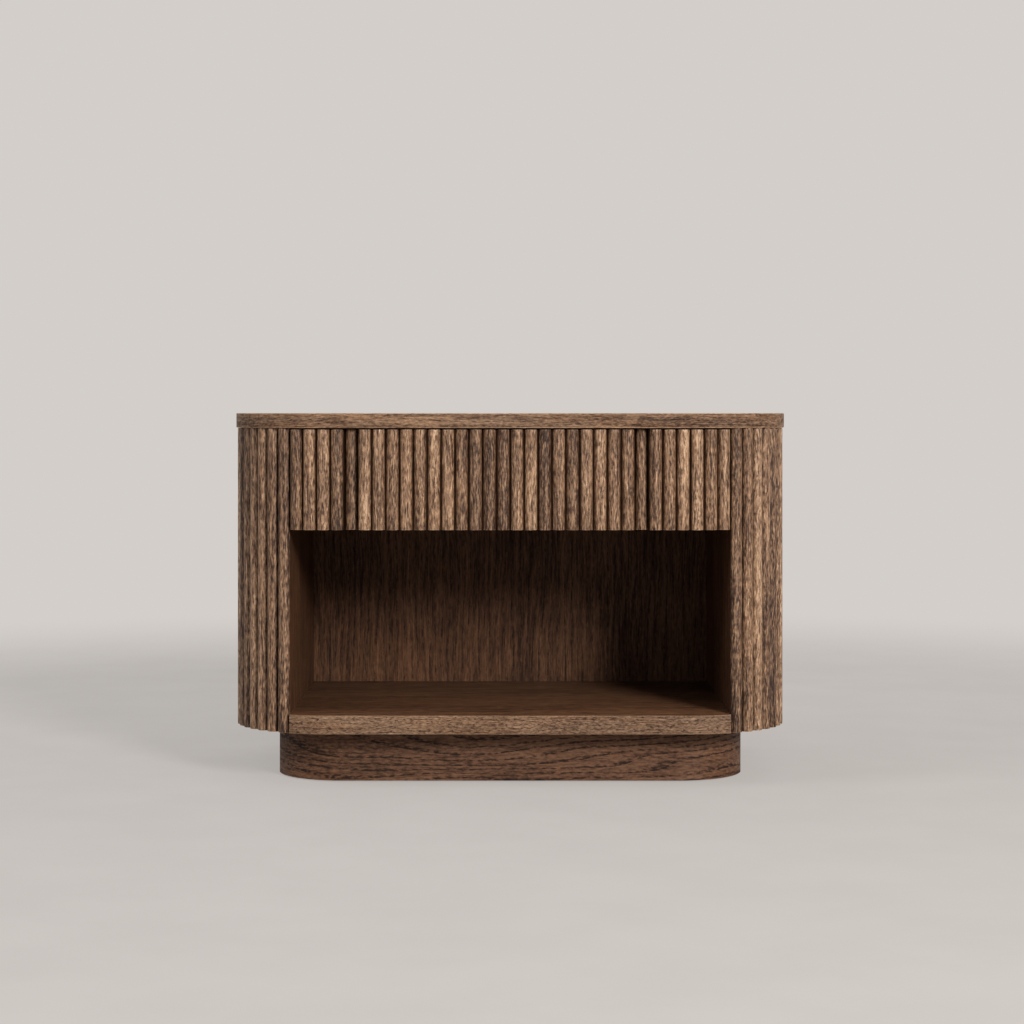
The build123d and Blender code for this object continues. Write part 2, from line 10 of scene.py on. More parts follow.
import bmesh
import bpy
from mathutils import Matrix, Vector, noise

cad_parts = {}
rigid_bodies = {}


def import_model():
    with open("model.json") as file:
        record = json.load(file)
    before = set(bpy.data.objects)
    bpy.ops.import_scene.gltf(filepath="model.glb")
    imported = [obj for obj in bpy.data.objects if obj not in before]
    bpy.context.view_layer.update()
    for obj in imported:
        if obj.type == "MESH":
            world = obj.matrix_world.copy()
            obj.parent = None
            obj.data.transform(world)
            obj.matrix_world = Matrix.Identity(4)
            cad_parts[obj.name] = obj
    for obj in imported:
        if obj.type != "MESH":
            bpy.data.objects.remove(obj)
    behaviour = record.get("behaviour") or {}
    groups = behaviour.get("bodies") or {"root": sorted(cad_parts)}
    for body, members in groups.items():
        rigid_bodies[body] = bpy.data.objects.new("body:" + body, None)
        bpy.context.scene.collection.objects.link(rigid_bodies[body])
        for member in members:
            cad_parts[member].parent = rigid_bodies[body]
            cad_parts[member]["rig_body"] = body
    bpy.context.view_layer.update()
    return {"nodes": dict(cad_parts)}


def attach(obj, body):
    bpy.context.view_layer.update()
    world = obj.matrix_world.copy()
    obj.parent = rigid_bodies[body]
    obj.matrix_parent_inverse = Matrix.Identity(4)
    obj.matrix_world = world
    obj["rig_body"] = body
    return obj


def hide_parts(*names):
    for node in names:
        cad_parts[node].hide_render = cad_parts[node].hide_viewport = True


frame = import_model()

log = logging.getLogger("nightstand")

Colour = tuple[float, float, float, float]
Point = tuple[float, float, float]
Section = list[tuple[float, float]]

# Points nearer than the first are one point, and levels nearer than the second one level, in metres
MERGE = 1e-6
SAME_LEVEL = 1e-5

# Lean of a face's normal: above the first it lies flat, below the last it stands upright
FLAT_LEAN = 0.97
MAPPED_LEAN = 0.75
UPRIGHT_LEAN = 0.2

# Features of the grain a metre along and across it, and how far it wanders sideways in metres
SWAY_SIZE = (4.0, 14.0)
ARCH_SIZE = (1.3, 7.0)
CLOUD_SIZE = (3.0, 12.0)
GREY_SIZE = (6.0, 60.0)
PORE_SIZE = (60.0, 900.0)
SWAY = 0.02

# Layers of the noise that the brushed ridges and pits are cut from, and seeds of a board's two chances
RIDGE_LAYER = 3.3
PIT_LAYER = 6.1
TONE_SEED = 3.7
GREY_SEED = 61.3

# Sizes that several pieces share, in metres
WALL_X = 0.358
BACK_Y = 0.254
PLINTH_TOP = 0.0875
CASE_REED_TOP = 0.5814
DRAWER_REED_TOP = 0.5795
BAND_BOTTOM = 0.417
REED_GRAIN_STEP = 0.06
REED_FACE = 0.0317


def paint(red: int, green: int, blue: int) -> Colour:
    """Linear colour for red, green and blue from 0 to 255 on a paint chart."""
    shares = (channel / 255 for channel in (red, green, blue))
    linear = [s / 12.92 if s <= 0.04045 else ((s + 0.055) / 1.055) ** 2.4 for s in shares]
    return linear[0], linear[1], linear[2], 1.0


class Body(Enum):
    """Bodies of the frame that new pieces ride on."""

    CASE = "case"
    DRAWER = "drawer"


class Grain(Enum):
    """Where a board's grain runs: along its own map, or along one axis of the piece."""

    MAPPED = "mapped"
    UPRIGHT = "upright"
    CROSSWISE = "crosswise"
    DEEP = "deep"


class Turned(Enum):
    """Small parts that are turned or moulded round an axis, by their slot in the record."""

    SCREW = "zinc_steel"
    GLIDE = "nylon_glide"
    BUMPER = "clear_bumper"


class Graph:
    """The node graph of one material, built one node at a time."""

    def __init__(self, name: str) -> None:
        """Starts an empty material of that name."""
        self.material = bpy.data.materials.new(name)
        self.material.use_nodes = True
        self.nodes = self.material.node_tree.nodes
        self.links = self.material.node_tree.links
        self.nodes.clear()

    def feed(self, socket: bpy.types.NodeSocket, value: Any) -> None:
        """Links a socket to another one, or sets its value."""
        if isinstance(value, bpy.types.NodeSocket):
            self.links.new(value, socket)
        else:
            socket.default_value = value

    def node(self, kind: str, inputs: dict[Any, Any] | None = None, **settings: Any) -> bpy.types.Node:
        """Adds a node.

        Args:
            kind: Blender's name of the node type.
            inputs: a value or a socket for each input, by name or place.
            settings: other properties of the node.

        Returns:
            The new node.
        """
        made = self.nodes.new(kind)
        for name, value in settings.items():
            setattr(made, name, value)
        for name, value in (inputs or {}).items():
            self.feed(made.inputs[name], value)
        return made

    def math(self, operation: str, *values: Any, clamp: bool = False) -> bpy.types.NodeSocket:
        """Result of a math operation on numbers or sockets."""
        inputs = dict(enumerate(values))
        return self.node("ShaderNodeMath", inputs, operation=operation, use_clamp=clamp).outputs[0]

    def vector(self, x: Any, y: Any, z: Any = 0.0) -> bpy.types.NodeSocket:
        """Vector from three numbers or sockets."""
        return self.node("ShaderNodeCombineXYZ", {0: x, 1: y, 2: z}).outputs[0]

    def scaled(self, value: Any, factor: float, shift: Any = 0.0) -> bpy.types.NodeSocket:
        """Value times a factor plus a shift."""
        return self.math("MULTIPLY_ADD", value, factor, shift)

    def stretched(self, place: Iterable[Any], sizes: Iterable[float]) -> bpy.types.NodeSocket:
        """Place in a pattern of so many features a metre along each axis."""
        return self.vector(*(self.scaled(value, size) for value, size in zip(place, sizes)))

    def noise(self, place: Any, detail: float = 2.0, rough: float = 0.5) -> bpy.types.NodeSocket:
        """Smooth noise from 0 to 1 at a place that is already in the pattern's own scale."""
        inputs = {"Vector": place, "Scale": 1.0, "Detail": detail, "Roughness": rough}
        return self.node("ShaderNodeTexNoise", inputs).outputs[0]

    def chance(self, number: Any) -> bpy.types.NodeSocket:
        """A number from 0 to 1 that is as good as random, and always the same for the same input."""
        node = self.node("ShaderNodeTexWhiteNoise", {"W": number}, noise_dimensions="1D")
        return node.outputs["Value"]

    def fit(self, value: Any, low: float, high: float, to_low: float, to_high: float) -> bpy.types.NodeSocket:
        """Value moved from one range to another along a smooth step, and held at its ends."""
        inputs = {0: value, 1: low, 2: high, 3: to_low, 4: to_high}
        return self.node("ShaderNodeMapRange", inputs, interpolation_type="SMOOTHSTEP").outputs[0]

    def ramp(self, value: Any, stops: Iterable[tuple[float, Colour]]) -> bpy.types.NodeSocket:
        """Colour of a value on a ramp of (place, colour) stops."""
        made = self.node("ShaderNodeValToRGB", {0: value})
        elements = made.color_ramp.elements
        for index, (place, colour) in enumerate(stops):
            element = elements[index] if index < 2 else elements.new(place)
            element.position = place
            element.color = colour
        return made.outputs[0]

    def mix(self, share: Any, first: Any, second: Any, blend: str = "MIX") -> bpy.types.NodeSocket:
        """Mix of two colours."""
        inputs = {0: share, 6: first, 7: second}
        settings = {"data_type": "RGBA", "blend_type": blend}
        return self.node("ShaderNodeMix", inputs, **settings).outputs[2]

    def object_place(self) -> tuple[bpy.types.NodeSocket, bpy.types.NodeSocket, bpy.types.NodeSocket]:
        """The three object coordinates, in metres."""
        place = self.node("ShaderNodeTexCoord").outputs["Object"]
        split = self.node("ShaderNodeSeparateXYZ", {0: place})
        return split.outputs[0], split.outputs[1], split.outputs[2]

    def bump(self, height: Any, depth: float, strength: float = 1.0) -> bpy.types.NodeSocket:
        """Bumped normal from a height of 0 to 1 that stands for a depth in metres."""
        inputs = {"Height": height, "Distance": depth, "Strength": strength}
        return self.node("ShaderNodeBump", inputs).outputs[0]

    def surface(self, **inputs: Any) -> bpy.types.Material:
        """Closes the graph with the main shader.

        Args:
            inputs: values or sockets for the shader, underscores for the spaces in their names.

        Returns:
            The finished material.
        """
        named = {name.replace("_", " "): value for name, value in inputs.items()}
        shader = self.node("ShaderNodeBsdfPrincipled", named)
        self.node("ShaderNodeOutputMaterial", {0: shader.outputs[0]})
        return self.material


@dataclass(frozen=True)
class OakFinish:
    """Stained oak: growth rings, fibres, pale streaks and open pores, laid along the grain.

    Tones run from the pore colour up to the palest fibre. Depths are shares of that tone range, and sizes
    are features a metre along and across the grain. A groove shade width paints shade on both edges of a
    reed's face, darker towards the grooves between the reeds.
    """

    name: str
    grain: Grain
    tones: tuple[Colour, Colour, Colour, Colour, Colour]
    grey: Colour
    board_width: float = 5.0
    board_change: float = 0.1
    ring_gap: float = 0.007
    ring_swirl: float = 3.0
    ring_depth: float = 0.2
    fibre_size: tuple[float, float] = (22.0, 520.0)
    fibre_depth: float = 0.7
    streak_size: tuple[float, float] = (10.0, 150.0)
    streak_depth: float = 0.6
    fleck_size: tuple[float, float] = (110.0, 330.0)
    fleck_depth: float = 0.4
    cloud_depth: float = 0.35
    pale_share: float = 0.0
    pit_share: float = 0.0
    pore_share: float = 0.5
    groove_shade_width: float = 0.0
    groove_shade_depth: float = 0.0
    greying: float = 0.3
    relief: float = 0.0004
    roughness: tuple[float, float] = (0.5, 0.7)
    gloss: float = 0.3
    seed: float = 0.0

    def grain_place(self, graph: Graph) -> tuple[Any, Any, Any]:
        """Distances along, across and below the grain, in metres."""
        if self.grain is Grain.MAPPED:
            flat = graph.node("ShaderNodeUVMap", uv_map="grain").outputs[0]
            split = graph.node("ShaderNodeSeparateXYZ", {0: flat})
            return split.outputs[0], split.outputs[1], 0.0
        x, y, z = graph.object_place()
        if self.grain is Grain.UPRIGHT:
            return z, graph.math("ADD", x, y), graph.math("SUBTRACT", x, y)
        if self.grain is Grain.CROSSWISE:
            return x, graph.math("ADD", y, z), graph.math("SUBTRACT", y, z)
        return y, graph.math("ADD", x, z), graph.math("SUBTRACT", x, z)

    def material(self) -> bpy.types.Material:
        """Builds the finish as a material."""
        graph = Graph(self.name)
        along, across, below = self.grain_place(graph)

        # Every board has its own tone and its own stretch of grain
        step = graph.math("DIVIDE", across, self.board_width)
        board = graph.math("FLOOR", step)
        board_chance = graph.chance(graph.math("ADD", board, self.seed + TONE_SEED))
        depth = graph.scaled(board_chance, 9.0, graph.math("ADD", below, self.seed))
        start = graph.scaled(board_chance, 23.0, along)

        def at(per_metre_along: float, per_metre_across: float, sideways: Any, lift: float = 0.0) -> Any:
            """Place in a pattern of so many features a metre along and across the grain."""
            layer = graph.math("ADD", depth, lift)
            return graph.vector(
                graph.scaled(start, per_metre_along), graph.scaled(sideways, per_metre_across), layer
            )

        # Grain that wanders a few millimetres sideways
        sway = graph.noise(at(*SWAY_SIZE, across), 2.0)
        bent = graph.scaled(graph.math("SUBTRACT", sway, 0.5), SWAY, across)

        # Growth rings, drawn out into long arches where the swirl outweighs the spacing
        swirl = graph.noise(at(*ARCH_SIZE, across), 2.0, 0.45)
        arches = graph.scaled(swirl, self.ring_swirl)
        ring = graph.math("FRACT", graph.scaled(bent, 1 / self.ring_gap, arches))
        early = graph.math("SUBTRACT", 1.0, graph.fit(ring, 0.0, 0.45, 0.0, 1.0))
        early = graph.math("MULTIPLY", early, graph.fit(ring, 0.0, 0.06, 0.0, 1.0))

        fibre = graph.noise(at(*self.fibre_size, bent), 4.0, 0.6)
        streak = graph.noise(at(*self.streak_size, bent), 3.0, 0.55)
        fleck = graph.noise(at(*self.fleck_size, bent), 3.0, 0.6)
        cloud = graph.noise(at(*CLOUD_SIZE, across), 2.0)
        early = graph.math("MULTIPLY", early, graph.fit(fleck, 0.4, 0.58, 1.0, 0.25))

        tone = graph.scaled(graph.math("SUBTRACT", fibre, 0.5), self.fibre_depth, 0.5)
        tone = graph.scaled(graph.math("SUBTRACT", streak, 0.5), self.streak_depth, tone)
        tone = graph.scaled(graph.math("SUBTRACT", fleck, 0.5), self.fleck_depth, tone)
        tone = graph.scaled(graph.math("SUBTRACT", cloud, 0.5), self.cloud_depth, tone)
        tone = graph.scaled(graph.math("SUBTRACT", board_chance, 0.5), self.board_change, tone)
        tone = graph.scaled(early, -self.ring_depth, tone)
        # Painted shade: each reed's face is darker towards both of its edges, where the grooves between reeds
        # lie in shadow
        if self.groove_shade_width:
            inside = graph.math("MULTIPLY", graph.math("FRACT", step), self.board_width)
            half = REED_FACE / 2
            off_crown = graph.math("ABSOLUTE", graph.math("SUBTRACT", inside, half))
            groove_shade = graph.fit(off_crown, half - self.groove_shade_width, half, 0.0, 1.0)
            tone = graph.scaled(groove_shade, -self.groove_shade_depth, tone)
        stops = zip((0.1, 0.3, 0.5, 0.7, 0.9), self.tones)
        colour = graph.ramp(tone, stops)

        # Some boards and some streaks are greyer than others
        other = graph.chance(graph.math("ADD", board, self.seed + GREY_SEED))
        patch = graph.noise(at(*GREY_SIZE, bent), 2.0)
        share = graph.fit(graph.math("ADD", patch, graph.scaled(other, 0.3)), 0.45, 0.85, 0.0, self.greying)
        colour = graph.mix(share, colour, self.grey, "COLOR")

        # Pale ridges and dark pits that the wire brush leaves
        ridge = graph.noise(at(self.fleck_size[0] * 0.5, self.fleck_size[1] * 1.2, bent, RIDGE_LAYER), 2.0)
        ridge = graph.fit(ridge, 0.55, 0.7, 0.0, self.pale_share)
        colour = graph.mix(ridge, colour, self.tones[4])
        pit = graph.noise(at(self.fleck_size[0], self.fleck_size[1] * 1.1, bent, PIT_LAYER), 2.0)
        pit = graph.fit(pit, 0.58, 0.68, 0.0, self.pit_share)
        colour = graph.mix(pit, colour, self.tones[0])

        # Open pores, thickest in the early wood
        pore = graph.noise(at(*PORE_SIZE, bent), 2.0, 0.6)
        pore = graph.math("ADD", pore, graph.scaled(early, 0.1))
        pore = graph.fit(pore, 0.56, 0.7, 0.0, self.pore_share)
        colour = graph.mix(pore, colour, self.tones[0])

        height = graph.scaled(fibre, 0.6, graph.scaled(streak, 0.5))
        height = graph.math("SUBTRACT", height, graph.scaled(pore, 0.6))
        height = graph.math("ADD", height, graph.scaled(ridge, 0.5))
        height = graph.math("SUBTRACT", height, graph.scaled(pit, 0.6))
        shine = graph.fit(tone, 0.25, 0.75, self.roughness[1], self.roughness[0])
        return graph.surface(
            Base_Color=colour,
            Roughness=shine,
            Specular_IOR_Level=self.gloss,
            Normal=graph.bump(height, self.relief),
        )


@dataclass(frozen=True)
class PlywoodFinish:
    """Birch plywood: thin veneer layers across one axis, with fine grain on its faces."""

    name: str
    layer_axis: int
    layer: float
    pale: Colour
    dark: Colour
    grain_axis: int = 1
    grain_size: tuple[float, float] = (13.0, 340.0)
    roughness: float = 0.45

    def material(self) -> bpy.types.Material:
        """Builds the finish as a material."""
        graph = Graph(self.name)
        place = list(graph.object_place())
        level = graph.math("FRACT", graph.math("DIVIDE", place[self.layer_axis], 2 * self.layer))
        band = graph.fit(graph.math("ABSOLUTE", graph.math("SUBTRACT", level, 0.5)), 0.2, 0.3, 0.0, 1.0)
        normal = graph.node("ShaderNodeNewGeometry").outputs["True Normal"]
        split = graph.node("ShaderNodeSeparateXYZ", {0: normal})
        facing = graph.math("ABSOLUTE", split.outputs[self.layer_axis])
        edge = graph.fit(facing, 0.4, 0.8, 1.0, 0.0)
        lengthwise, across = self.grain_size
        sizes = [lengthwise if axis == self.grain_axis else across for axis in range(3)]
        grain = graph.noise(graph.stretched(place, sizes), 4.0)
        clouds = graph.noise(graph.stretched(place, (9.0, 9.0, 9.0)), 2.0)
        tone = graph.math("ADD", graph.scaled(grain, 0.6), graph.scaled(clouds, 0.4))
        colour = graph.ramp(tone, ((0.3, self.dark), (0.7, self.pale)))
        colour = graph.mix(graph.math("MULTIPLY", band, edge), colour, self.dark, "MULTIPLY")
        return graph.surface(
            Base_Color=colour, Roughness=self.roughness, Normal=graph.bump(grain, 0.0001)
        )


@dataclass(frozen=True)
class MetalFinish:
    """Drawn steel: faint lines along its length and soft, cloudy tarnish."""

    name: str
    colour: Colour
    dark: Colour
    roughness: tuple[float, float]

    def material(self) -> bpy.types.Material:
        """Builds the finish as a material."""
        graph = Graph(self.name)
        place = graph.object_place()
        cloud = graph.noise(graph.stretched(place, (60.0, 60.0, 60.0)), 3.0)
        lines = graph.noise(graph.stretched(place, (900.0, 15.0, 900.0)), 2.0)
        colour = graph.ramp(cloud, ((0.3, self.dark), (0.7, self.colour)))
        shine = graph.fit(graph.math("ADD", cloud, lines), 0.7, 1.3, *self.roughness)
        return graph.surface(
            Base_Color=colour, Metallic=1.0, Roughness=shine, Normal=graph.bump(lines, 0.00003)
        )


@dataclass(frozen=True)
class PlasticFinish:
    """Moulded plastic with a fine, even grain."""

    name: str
    colour: Colour
    shade: Colour
    roughness: float
    clear: float = 0.0

    def material(self) -> bpy.types.Material:
        """Builds the finish as a material."""
        graph = Graph(self.name)
        place = graph.object_place()
        grain = graph.noise(graph.stretched(place, (2500.0, 2500.0, 2500.0)), 2.0)
        cloud = graph.noise(graph.stretched(place, (120.0, 120.0, 120.0)), 2.0)
        colour = graph.ramp(cloud, ((0.3, self.shade), (0.7, self.colour)))
        return graph.surface(
            Base_Color=colour,
            Roughness=self.roughness,
            Transmission_Weight=self.clear,
            Normal=graph.bump(grain, 0.00005),
        )


REED_TONES = (
    paint(34, 18, 10), paint(70, 46, 31), paint(115, 86, 64), paint(149, 116, 89), paint(190, 156, 126),
)
PANEL_TONES = (
    paint(22, 12, 6), paint(46, 28, 17), paint(78, 51, 34), paint(102, 70, 48), paint(130, 95, 68),
)
SHELF_TONES = (
    paint(24, 13, 7), paint(56, 35, 22), paint(96, 65, 44), paint(124, 88, 62), paint(150, 112, 82),
)
PLINTH_TONES = (
    paint(30, 17, 9), paint(58, 36, 24), paint(98, 67, 48), paint(118, 84, 61), paint(142, 106, 79),
)
BACKING_TONES = (
    paint(14, 6, 3), paint(28, 14, 7), paint(46, 27, 15), paint(62, 39, 23), paint(80, 53, 34),
)
# Paler tones for eased edges and reed-end rims: partly wear, partly a painted highlight where a rounded edge
# would catch the light
WEAR_AND_HIGHLIGHT_TONES = (
    paint(70, 48, 34), paint(112, 84, 64), paint(150, 118, 93), paint(180, 146, 118), paint(206, 174, 146),
)
PINE_TONES = (
    paint(120, 84, 50), paint(158, 120, 80), paint(190, 156, 112), paint(204, 172, 130),
    paint(214, 186, 146),
)
BEECH_TONES = (
    paint(130, 88, 60), paint(166, 122, 88), paint(192, 150, 112), paint(202, 162, 126),
    paint(210, 172, 138),
)
SMOKE = paint(126, 108, 92)

SLAB_OAK = OakFinish(
    "slab_oak", Grain.MAPPED, REED_TONES, SMOKE, board_width=0.13, board_change=0.03, ring_depth=0.1,
    fibre_size=(45.0, 480.0), fibre_depth=0.6, streak_depth=0.6, fleck_size=(150.0, 420.0),
    fleck_depth=0.75, cloud_depth=0.5, pale_share=0.2, pit_share=0.35, relief=0.0005,
    roughness=(0.5, 0.68), gloss=0.2, seed=2.0,
)
SHELF_EDGE_OAK = replace(
    SLAB_OAK, name="shelf_edge_oak", board_width=5.0, board_change=0.0, streak_depth=0.4, cloud_depth=0.25,
    pit_share=0.8, seed=5.0,
)
# Slab and shelf arrises in paler oak: wear, and a painted highlight along the eased edges
WEAR_AND_HIGHLIGHT_EDGE_OAK = replace(
    SLAB_OAK, name="wear_and_highlight_edge_oak", tones=WEAR_AND_HIGHLIGHT_TONES, pit_share=0.3, seed=6.0,
)
SHELF_TOP_OAK = OakFinish(
    "shelf_top_oak", Grain.MAPPED, SHELF_TONES, SMOKE, board_change=0.0, ring_gap=0.02, ring_swirl=6.0,
    ring_depth=0.12, fibre_depth=0.6, streak_depth=0.5, fleck_size=(50.0, 220.0), fleck_depth=0.6,
    pore_share=0.35, greying=0.1, relief=0.00015, roughness=(0.42, 0.55), seed=7.0,
)
# Reed oak paints shade along both edges of each reed's face, towards the grooves between reeds
REED_OAK = OakFinish(
    "reed_oak", Grain.MAPPED, REED_TONES, SMOKE, board_width=REED_GRAIN_STEP, board_change=0.3,
    ring_gap=0.009, ring_swirl=2.0, ring_depth=0.12, fibre_size=(34.0, 400.0), fibre_depth=0.75,
    streak_depth=0.8, fleck_size=(95.0, 380.0), fleck_depth=1.45, cloud_depth=0.6, pale_share=0.4,
    pit_share=0.75, groove_shade_width=0.006, groove_shade_depth=0.2, greying=0.12, relief=0.0006, roughness=(0.4, 0.58),
    gloss=0.3, seed=9.0,
)
# Eased reed-end rims in paler oak: wear, and a painted highlight along the rims
REED_END_WEAR_AND_HIGHLIGHT_OAK = replace(
    REED_OAK, name="reed_end_wear_and_highlight_oak", tones=WEAR_AND_HIGHLIGHT_TONES, groove_shade_width=0.0, pit_share=0.3,
)
PANEL_OAK = OakFinish(
    "panel_oak", Grain.UPRIGHT, PANEL_TONES, SMOKE, ring_gap=0.012, ring_swirl=6.0, ring_depth=0.16,
    fibre_size=(26.0, 420.0), fleck_size=(90.0, 300.0), fleck_depth=0.4, pit_share=0.15, greying=0.1,
    relief=0.0002, gloss=0.15, seed=13.0,
)
BOARD_OAK = replace(PANEL_OAK, name="board_oak", grain=Grain.CROSSWISE, seed=17.0)
PLINTH_OAK = OakFinish(
    "plinth_oak", Grain.MAPPED, PLINTH_TONES, SMOKE, ring_gap=0.02, ring_swirl=16.0, ring_depth=0.42,
    fibre_size=(30.0, 380.0), fibre_depth=0.5, streak_size=(9.0, 110.0), streak_depth=0.45,
    fleck_size=(95.0, 280.0), fleck_depth=0.7, pit_share=0.3, pore_share=0.6, greying=0.1,
    relief=0.0002, gloss=0.2, seed=23.0,
)
BACKING_OAK = OakFinish(
    "backing_oak", Grain.UPRIGHT, BACKING_TONES, SMOKE, greying=0.0, gloss=0.05, seed=29.0,
)
BIRCH_PALE, BIRCH_DARK = paint(190, 164, 130), paint(156, 126, 94)
DRAWER_PLY = PlywoodFinish("drawer_birch_ply", 0, 0.0013, BIRCH_PALE, BIRCH_DARK)
FLOOR_PLY = PlywoodFinish("drawer_floor_ply", 2, 0.0012, BIRCH_PALE, BIRCH_DARK)
END_PLY = PlywoodFinish("drawer_end_ply", 1, 0.0013, BIRCH_PALE, BIRCH_DARK, grain_axis=0)
SOFTWOOD = OakFinish(
    "planed_softwood", Grain.DEEP, PINE_TONES, paint(190, 170, 140), ring_gap=0.006, ring_swirl=4.0,
    ring_depth=0.35, fleck_depth=0.1, pore_share=0.0, greying=0.1, seed=31.0,
)
BEECH = OakFinish(
    "turned_beech", Grain.CROSSWISE, BEECH_TONES, paint(190, 160, 130), ring_depth=0.1, fleck_depth=0.5,
    pore_share=0.1, greying=0.0, seed=37.0,
)
ZINC = MetalFinish("zinc_plate", paint(176, 177, 176), paint(158, 160, 162), (0.32, 0.45))
BRIGHT_STEEL = MetalFinish("polished_steel", paint(206, 206, 204), paint(170, 170, 170), (0.15, 0.3))
BUMPER_GEL = PlasticFinish("clear_gel", paint(226, 228, 226), paint(206, 210, 208), 0.25, clear=0.8)
NYLON = PlasticFinish("black_nylon", paint(38, 36, 34), paint(28, 26, 25), 0.5)


@dataclass(frozen=True)
class Plan:
    """Plan outline with a square back and two rounded front corners."""

    half_width: float
    front: float
    back: float
    radius: float

    @property
    def corner_x(self) -> float:
        """Where the straight front ends and a corner begins."""
        return self.half_width - self.radius

    @property
    def corner_y(self) -> float:
        """Where a corner ends and the straight side begins."""
        return self.front + self.radius

    @property
    def arc_run(self) -> float:
        """Length of one corner along the outline."""
        return self.radius * math.pi / 2

    def run_at(self, x: float, y: float) -> float:
        """Signed distance along the outline, from the middle of the front to a point near it."""
        out, deep = abs(x) - self.corner_x, self.corner_y - y
        if out <= 0:
            return x
        if deep <= 0:
            run = self.corner_x + self.arc_run - deep
        else:
            run = self.corner_x + self.radius * math.atan2(out, deep)
        return math.copysign(run, x)

    def place_at(self, run: float) -> tuple[float, float, float]:
        """Point and turn (radians) on the right half of the outline at a run from the front's middle."""
        if run <= self.corner_x:
            return run, self.front, 0.0
        turn = (run - self.corner_x) / self.radius
        if turn <= math.pi / 2:
            x = self.corner_x + self.radius * math.sin(turn)
            return x, self.corner_y - self.radius * math.cos(turn), turn
        return self.half_width, self.corner_y + run - self.corner_x - self.arc_run, math.pi / 2


def new_bmesh() -> bmesh.types.BMesh:
    """Empty bmesh with a map layer for the grain."""
    bm = bmesh.new()
    bm.loops.layers.uv.new("grain")
    return bm


def box_between(bm: bmesh.types.BMesh, low: Vector, high: Vector) -> list[bmesh.types.BMVert]:
    """Adds a box between two corners and returns its vertices."""
    middle, size = (low + high) / 2, high - low
    matrix = Matrix.Translation(middle) @ Matrix.Diagonal(size).to_4x4()
    return bmesh.ops.create_cube(bm, size=1.0, matrix=matrix)["verts"]


def bevel(bm: bmesh.types.BMesh, edges: list[bmesh.types.BMEdge], offset: float, segments: int) -> None:
    """Rounds some edges."""
    bmesh.ops.bevel(
        bm, geom=edges, offset=offset, offset_type="OFFSET", segments=segments, profile=0.5,
        affect="EDGES", material=-1, clamp_overlap=True,
    )


def rounded_block(plan: Plan, low: float, high: float, steps: int) -> bmesh.types.BMesh:
    """Block between two heights with the plan's outline, in so many steps round each front corner."""
    bm = new_bmesh()
    half = plan.half_width
    box_between(bm, Vector((-half, plan.front, low)), Vector((half, plan.back, high)))
    front = [
        edge for edge in bm.edges
        if all(v.co.y < 0 for v in edge.verts) and edge.verts[0].co.x == edge.verts[1].co.x
    ]
    bevel(bm, front, plan.radius, steps)
    return bm


def cut_off(bm: bmesh.types.BMesh, point: Point, normal: Point) -> None:
    """Saws off what lies beyond a plane and closes the cut."""
    geometry = bm.verts[:] + bm.edges[:] + bm.faces[:]
    bmesh.ops.bisect_plane(bm, geom=geometry, plane_co=point, plane_no=normal, clear_outer=True)
    bmesh.ops.holes_fill(bm, edges=[e for e in bm.edges if e.is_boundary])


def sharp_edges(bm: bmesh.types.BMesh, angle: float = math.radians(40)) -> list[bmesh.types.BMEdge]:
    """Outer edges that turn by more than an angle."""
    found = []
    for edge in bm.edges:
        if edge.is_manifold and edge.calc_face_angle_signed(0.0) > angle:
            found.append(edge)
    return found


def map_grain(
    bm: bmesh.types.BMesh, faces: Iterable[bmesh.types.BMFace],
    place: Callable[[Vector, Vector], tuple[float, float]],
) -> None:
    """Maps faces so that the first coordinate runs along the grain, in metres.

    Args:
        bm: the mesh.
        faces: the faces to map.
        place: gives the two coordinates from a point and its face's normal.
    """
    layer = bm.loops.layers.uv.verify()
    for face in faces:
        for loop in face.loops:
            loop[layer].uv = place(loop.vert.co, face.normal)


def finish_piece(
    bm: bmesh.types.BMesh, name: str, body: Body, nodes: Iterable[str],
    materials: Iterable[bpy.types.Material], smooth: float = 35.0,
) -> bpy.types.Object:
    """Turns a bmesh into a piece of the scene.

    Args:
        bm: the finished shape, in the frame's own place; it is freed.
        name: name of the piece.
        body: body that it rides on.
        nodes: nodes of the frame that it stands for.
        materials: its materials, in the order of its faces' material numbers.
        smooth: largest angle in degrees that is shaded as a curve.

    Returns:
        The new object.
    """
    for face in bm.faces:
        face.smooth = True
    mesh = bpy.data.meshes.new(name)
    bm.to_mesh(mesh)
    bm.free()
    mesh.set_sharp_from_angle(angle=math.radians(smooth))
    for material in materials:
        mesh.materials.append(material)
    piece = bpy.data.objects.new(name, mesh)
    bpy.context.scene.collection.objects.link(piece)
    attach(piece, body.value)
    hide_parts(*nodes)
    log.info("%s: %d faces, rides on %s", name, len(mesh.polygons), body.value)
    return piece


@dataclass
class Workshop:
    """Makes each finish's material once and hands it out."""

    made: dict[str, bpy.types.Material] = field(default_factory=dict)

    def material(self, finish: Any) -> bpy.types.Material:
        """The material of a finish."""
        if finish.name not in self.made:
            self.made[finish.name] = finish.material()
        return self.made[finish.name]

    def dress(self, node: str, finish: Any) -> None:
        """Gives a node of the frame its finish."""
        for slot in frame["nodes"][node].material_slots:
            slot.material = self.material(finish)
        log.info("%s: dressed in %s", node, finish.name)


def loose_parts(node: str) -> list[list[Vector]]:
    """Points of each separate solid of a node of the frame."""
    bm = bmesh.new()
    bm.from_mesh(frame["nodes"][node].data)
    bmesh.ops.remove_doubles(bm, verts=bm.verts, dist=MERGE)
    parts, seen = [], set()
    for first in bm.verts:
        part, waiting = [], [first]
        while waiting:
            vert = waiting.pop()
            if vert in seen:
                continue
            seen.add(vert)
            part.append(vert.co.copy())
            waiting.extend(edge.other_vert(vert) for edge in vert.link_edges)
        if part:
            parts.append(part)
    bm.free()
    return parts


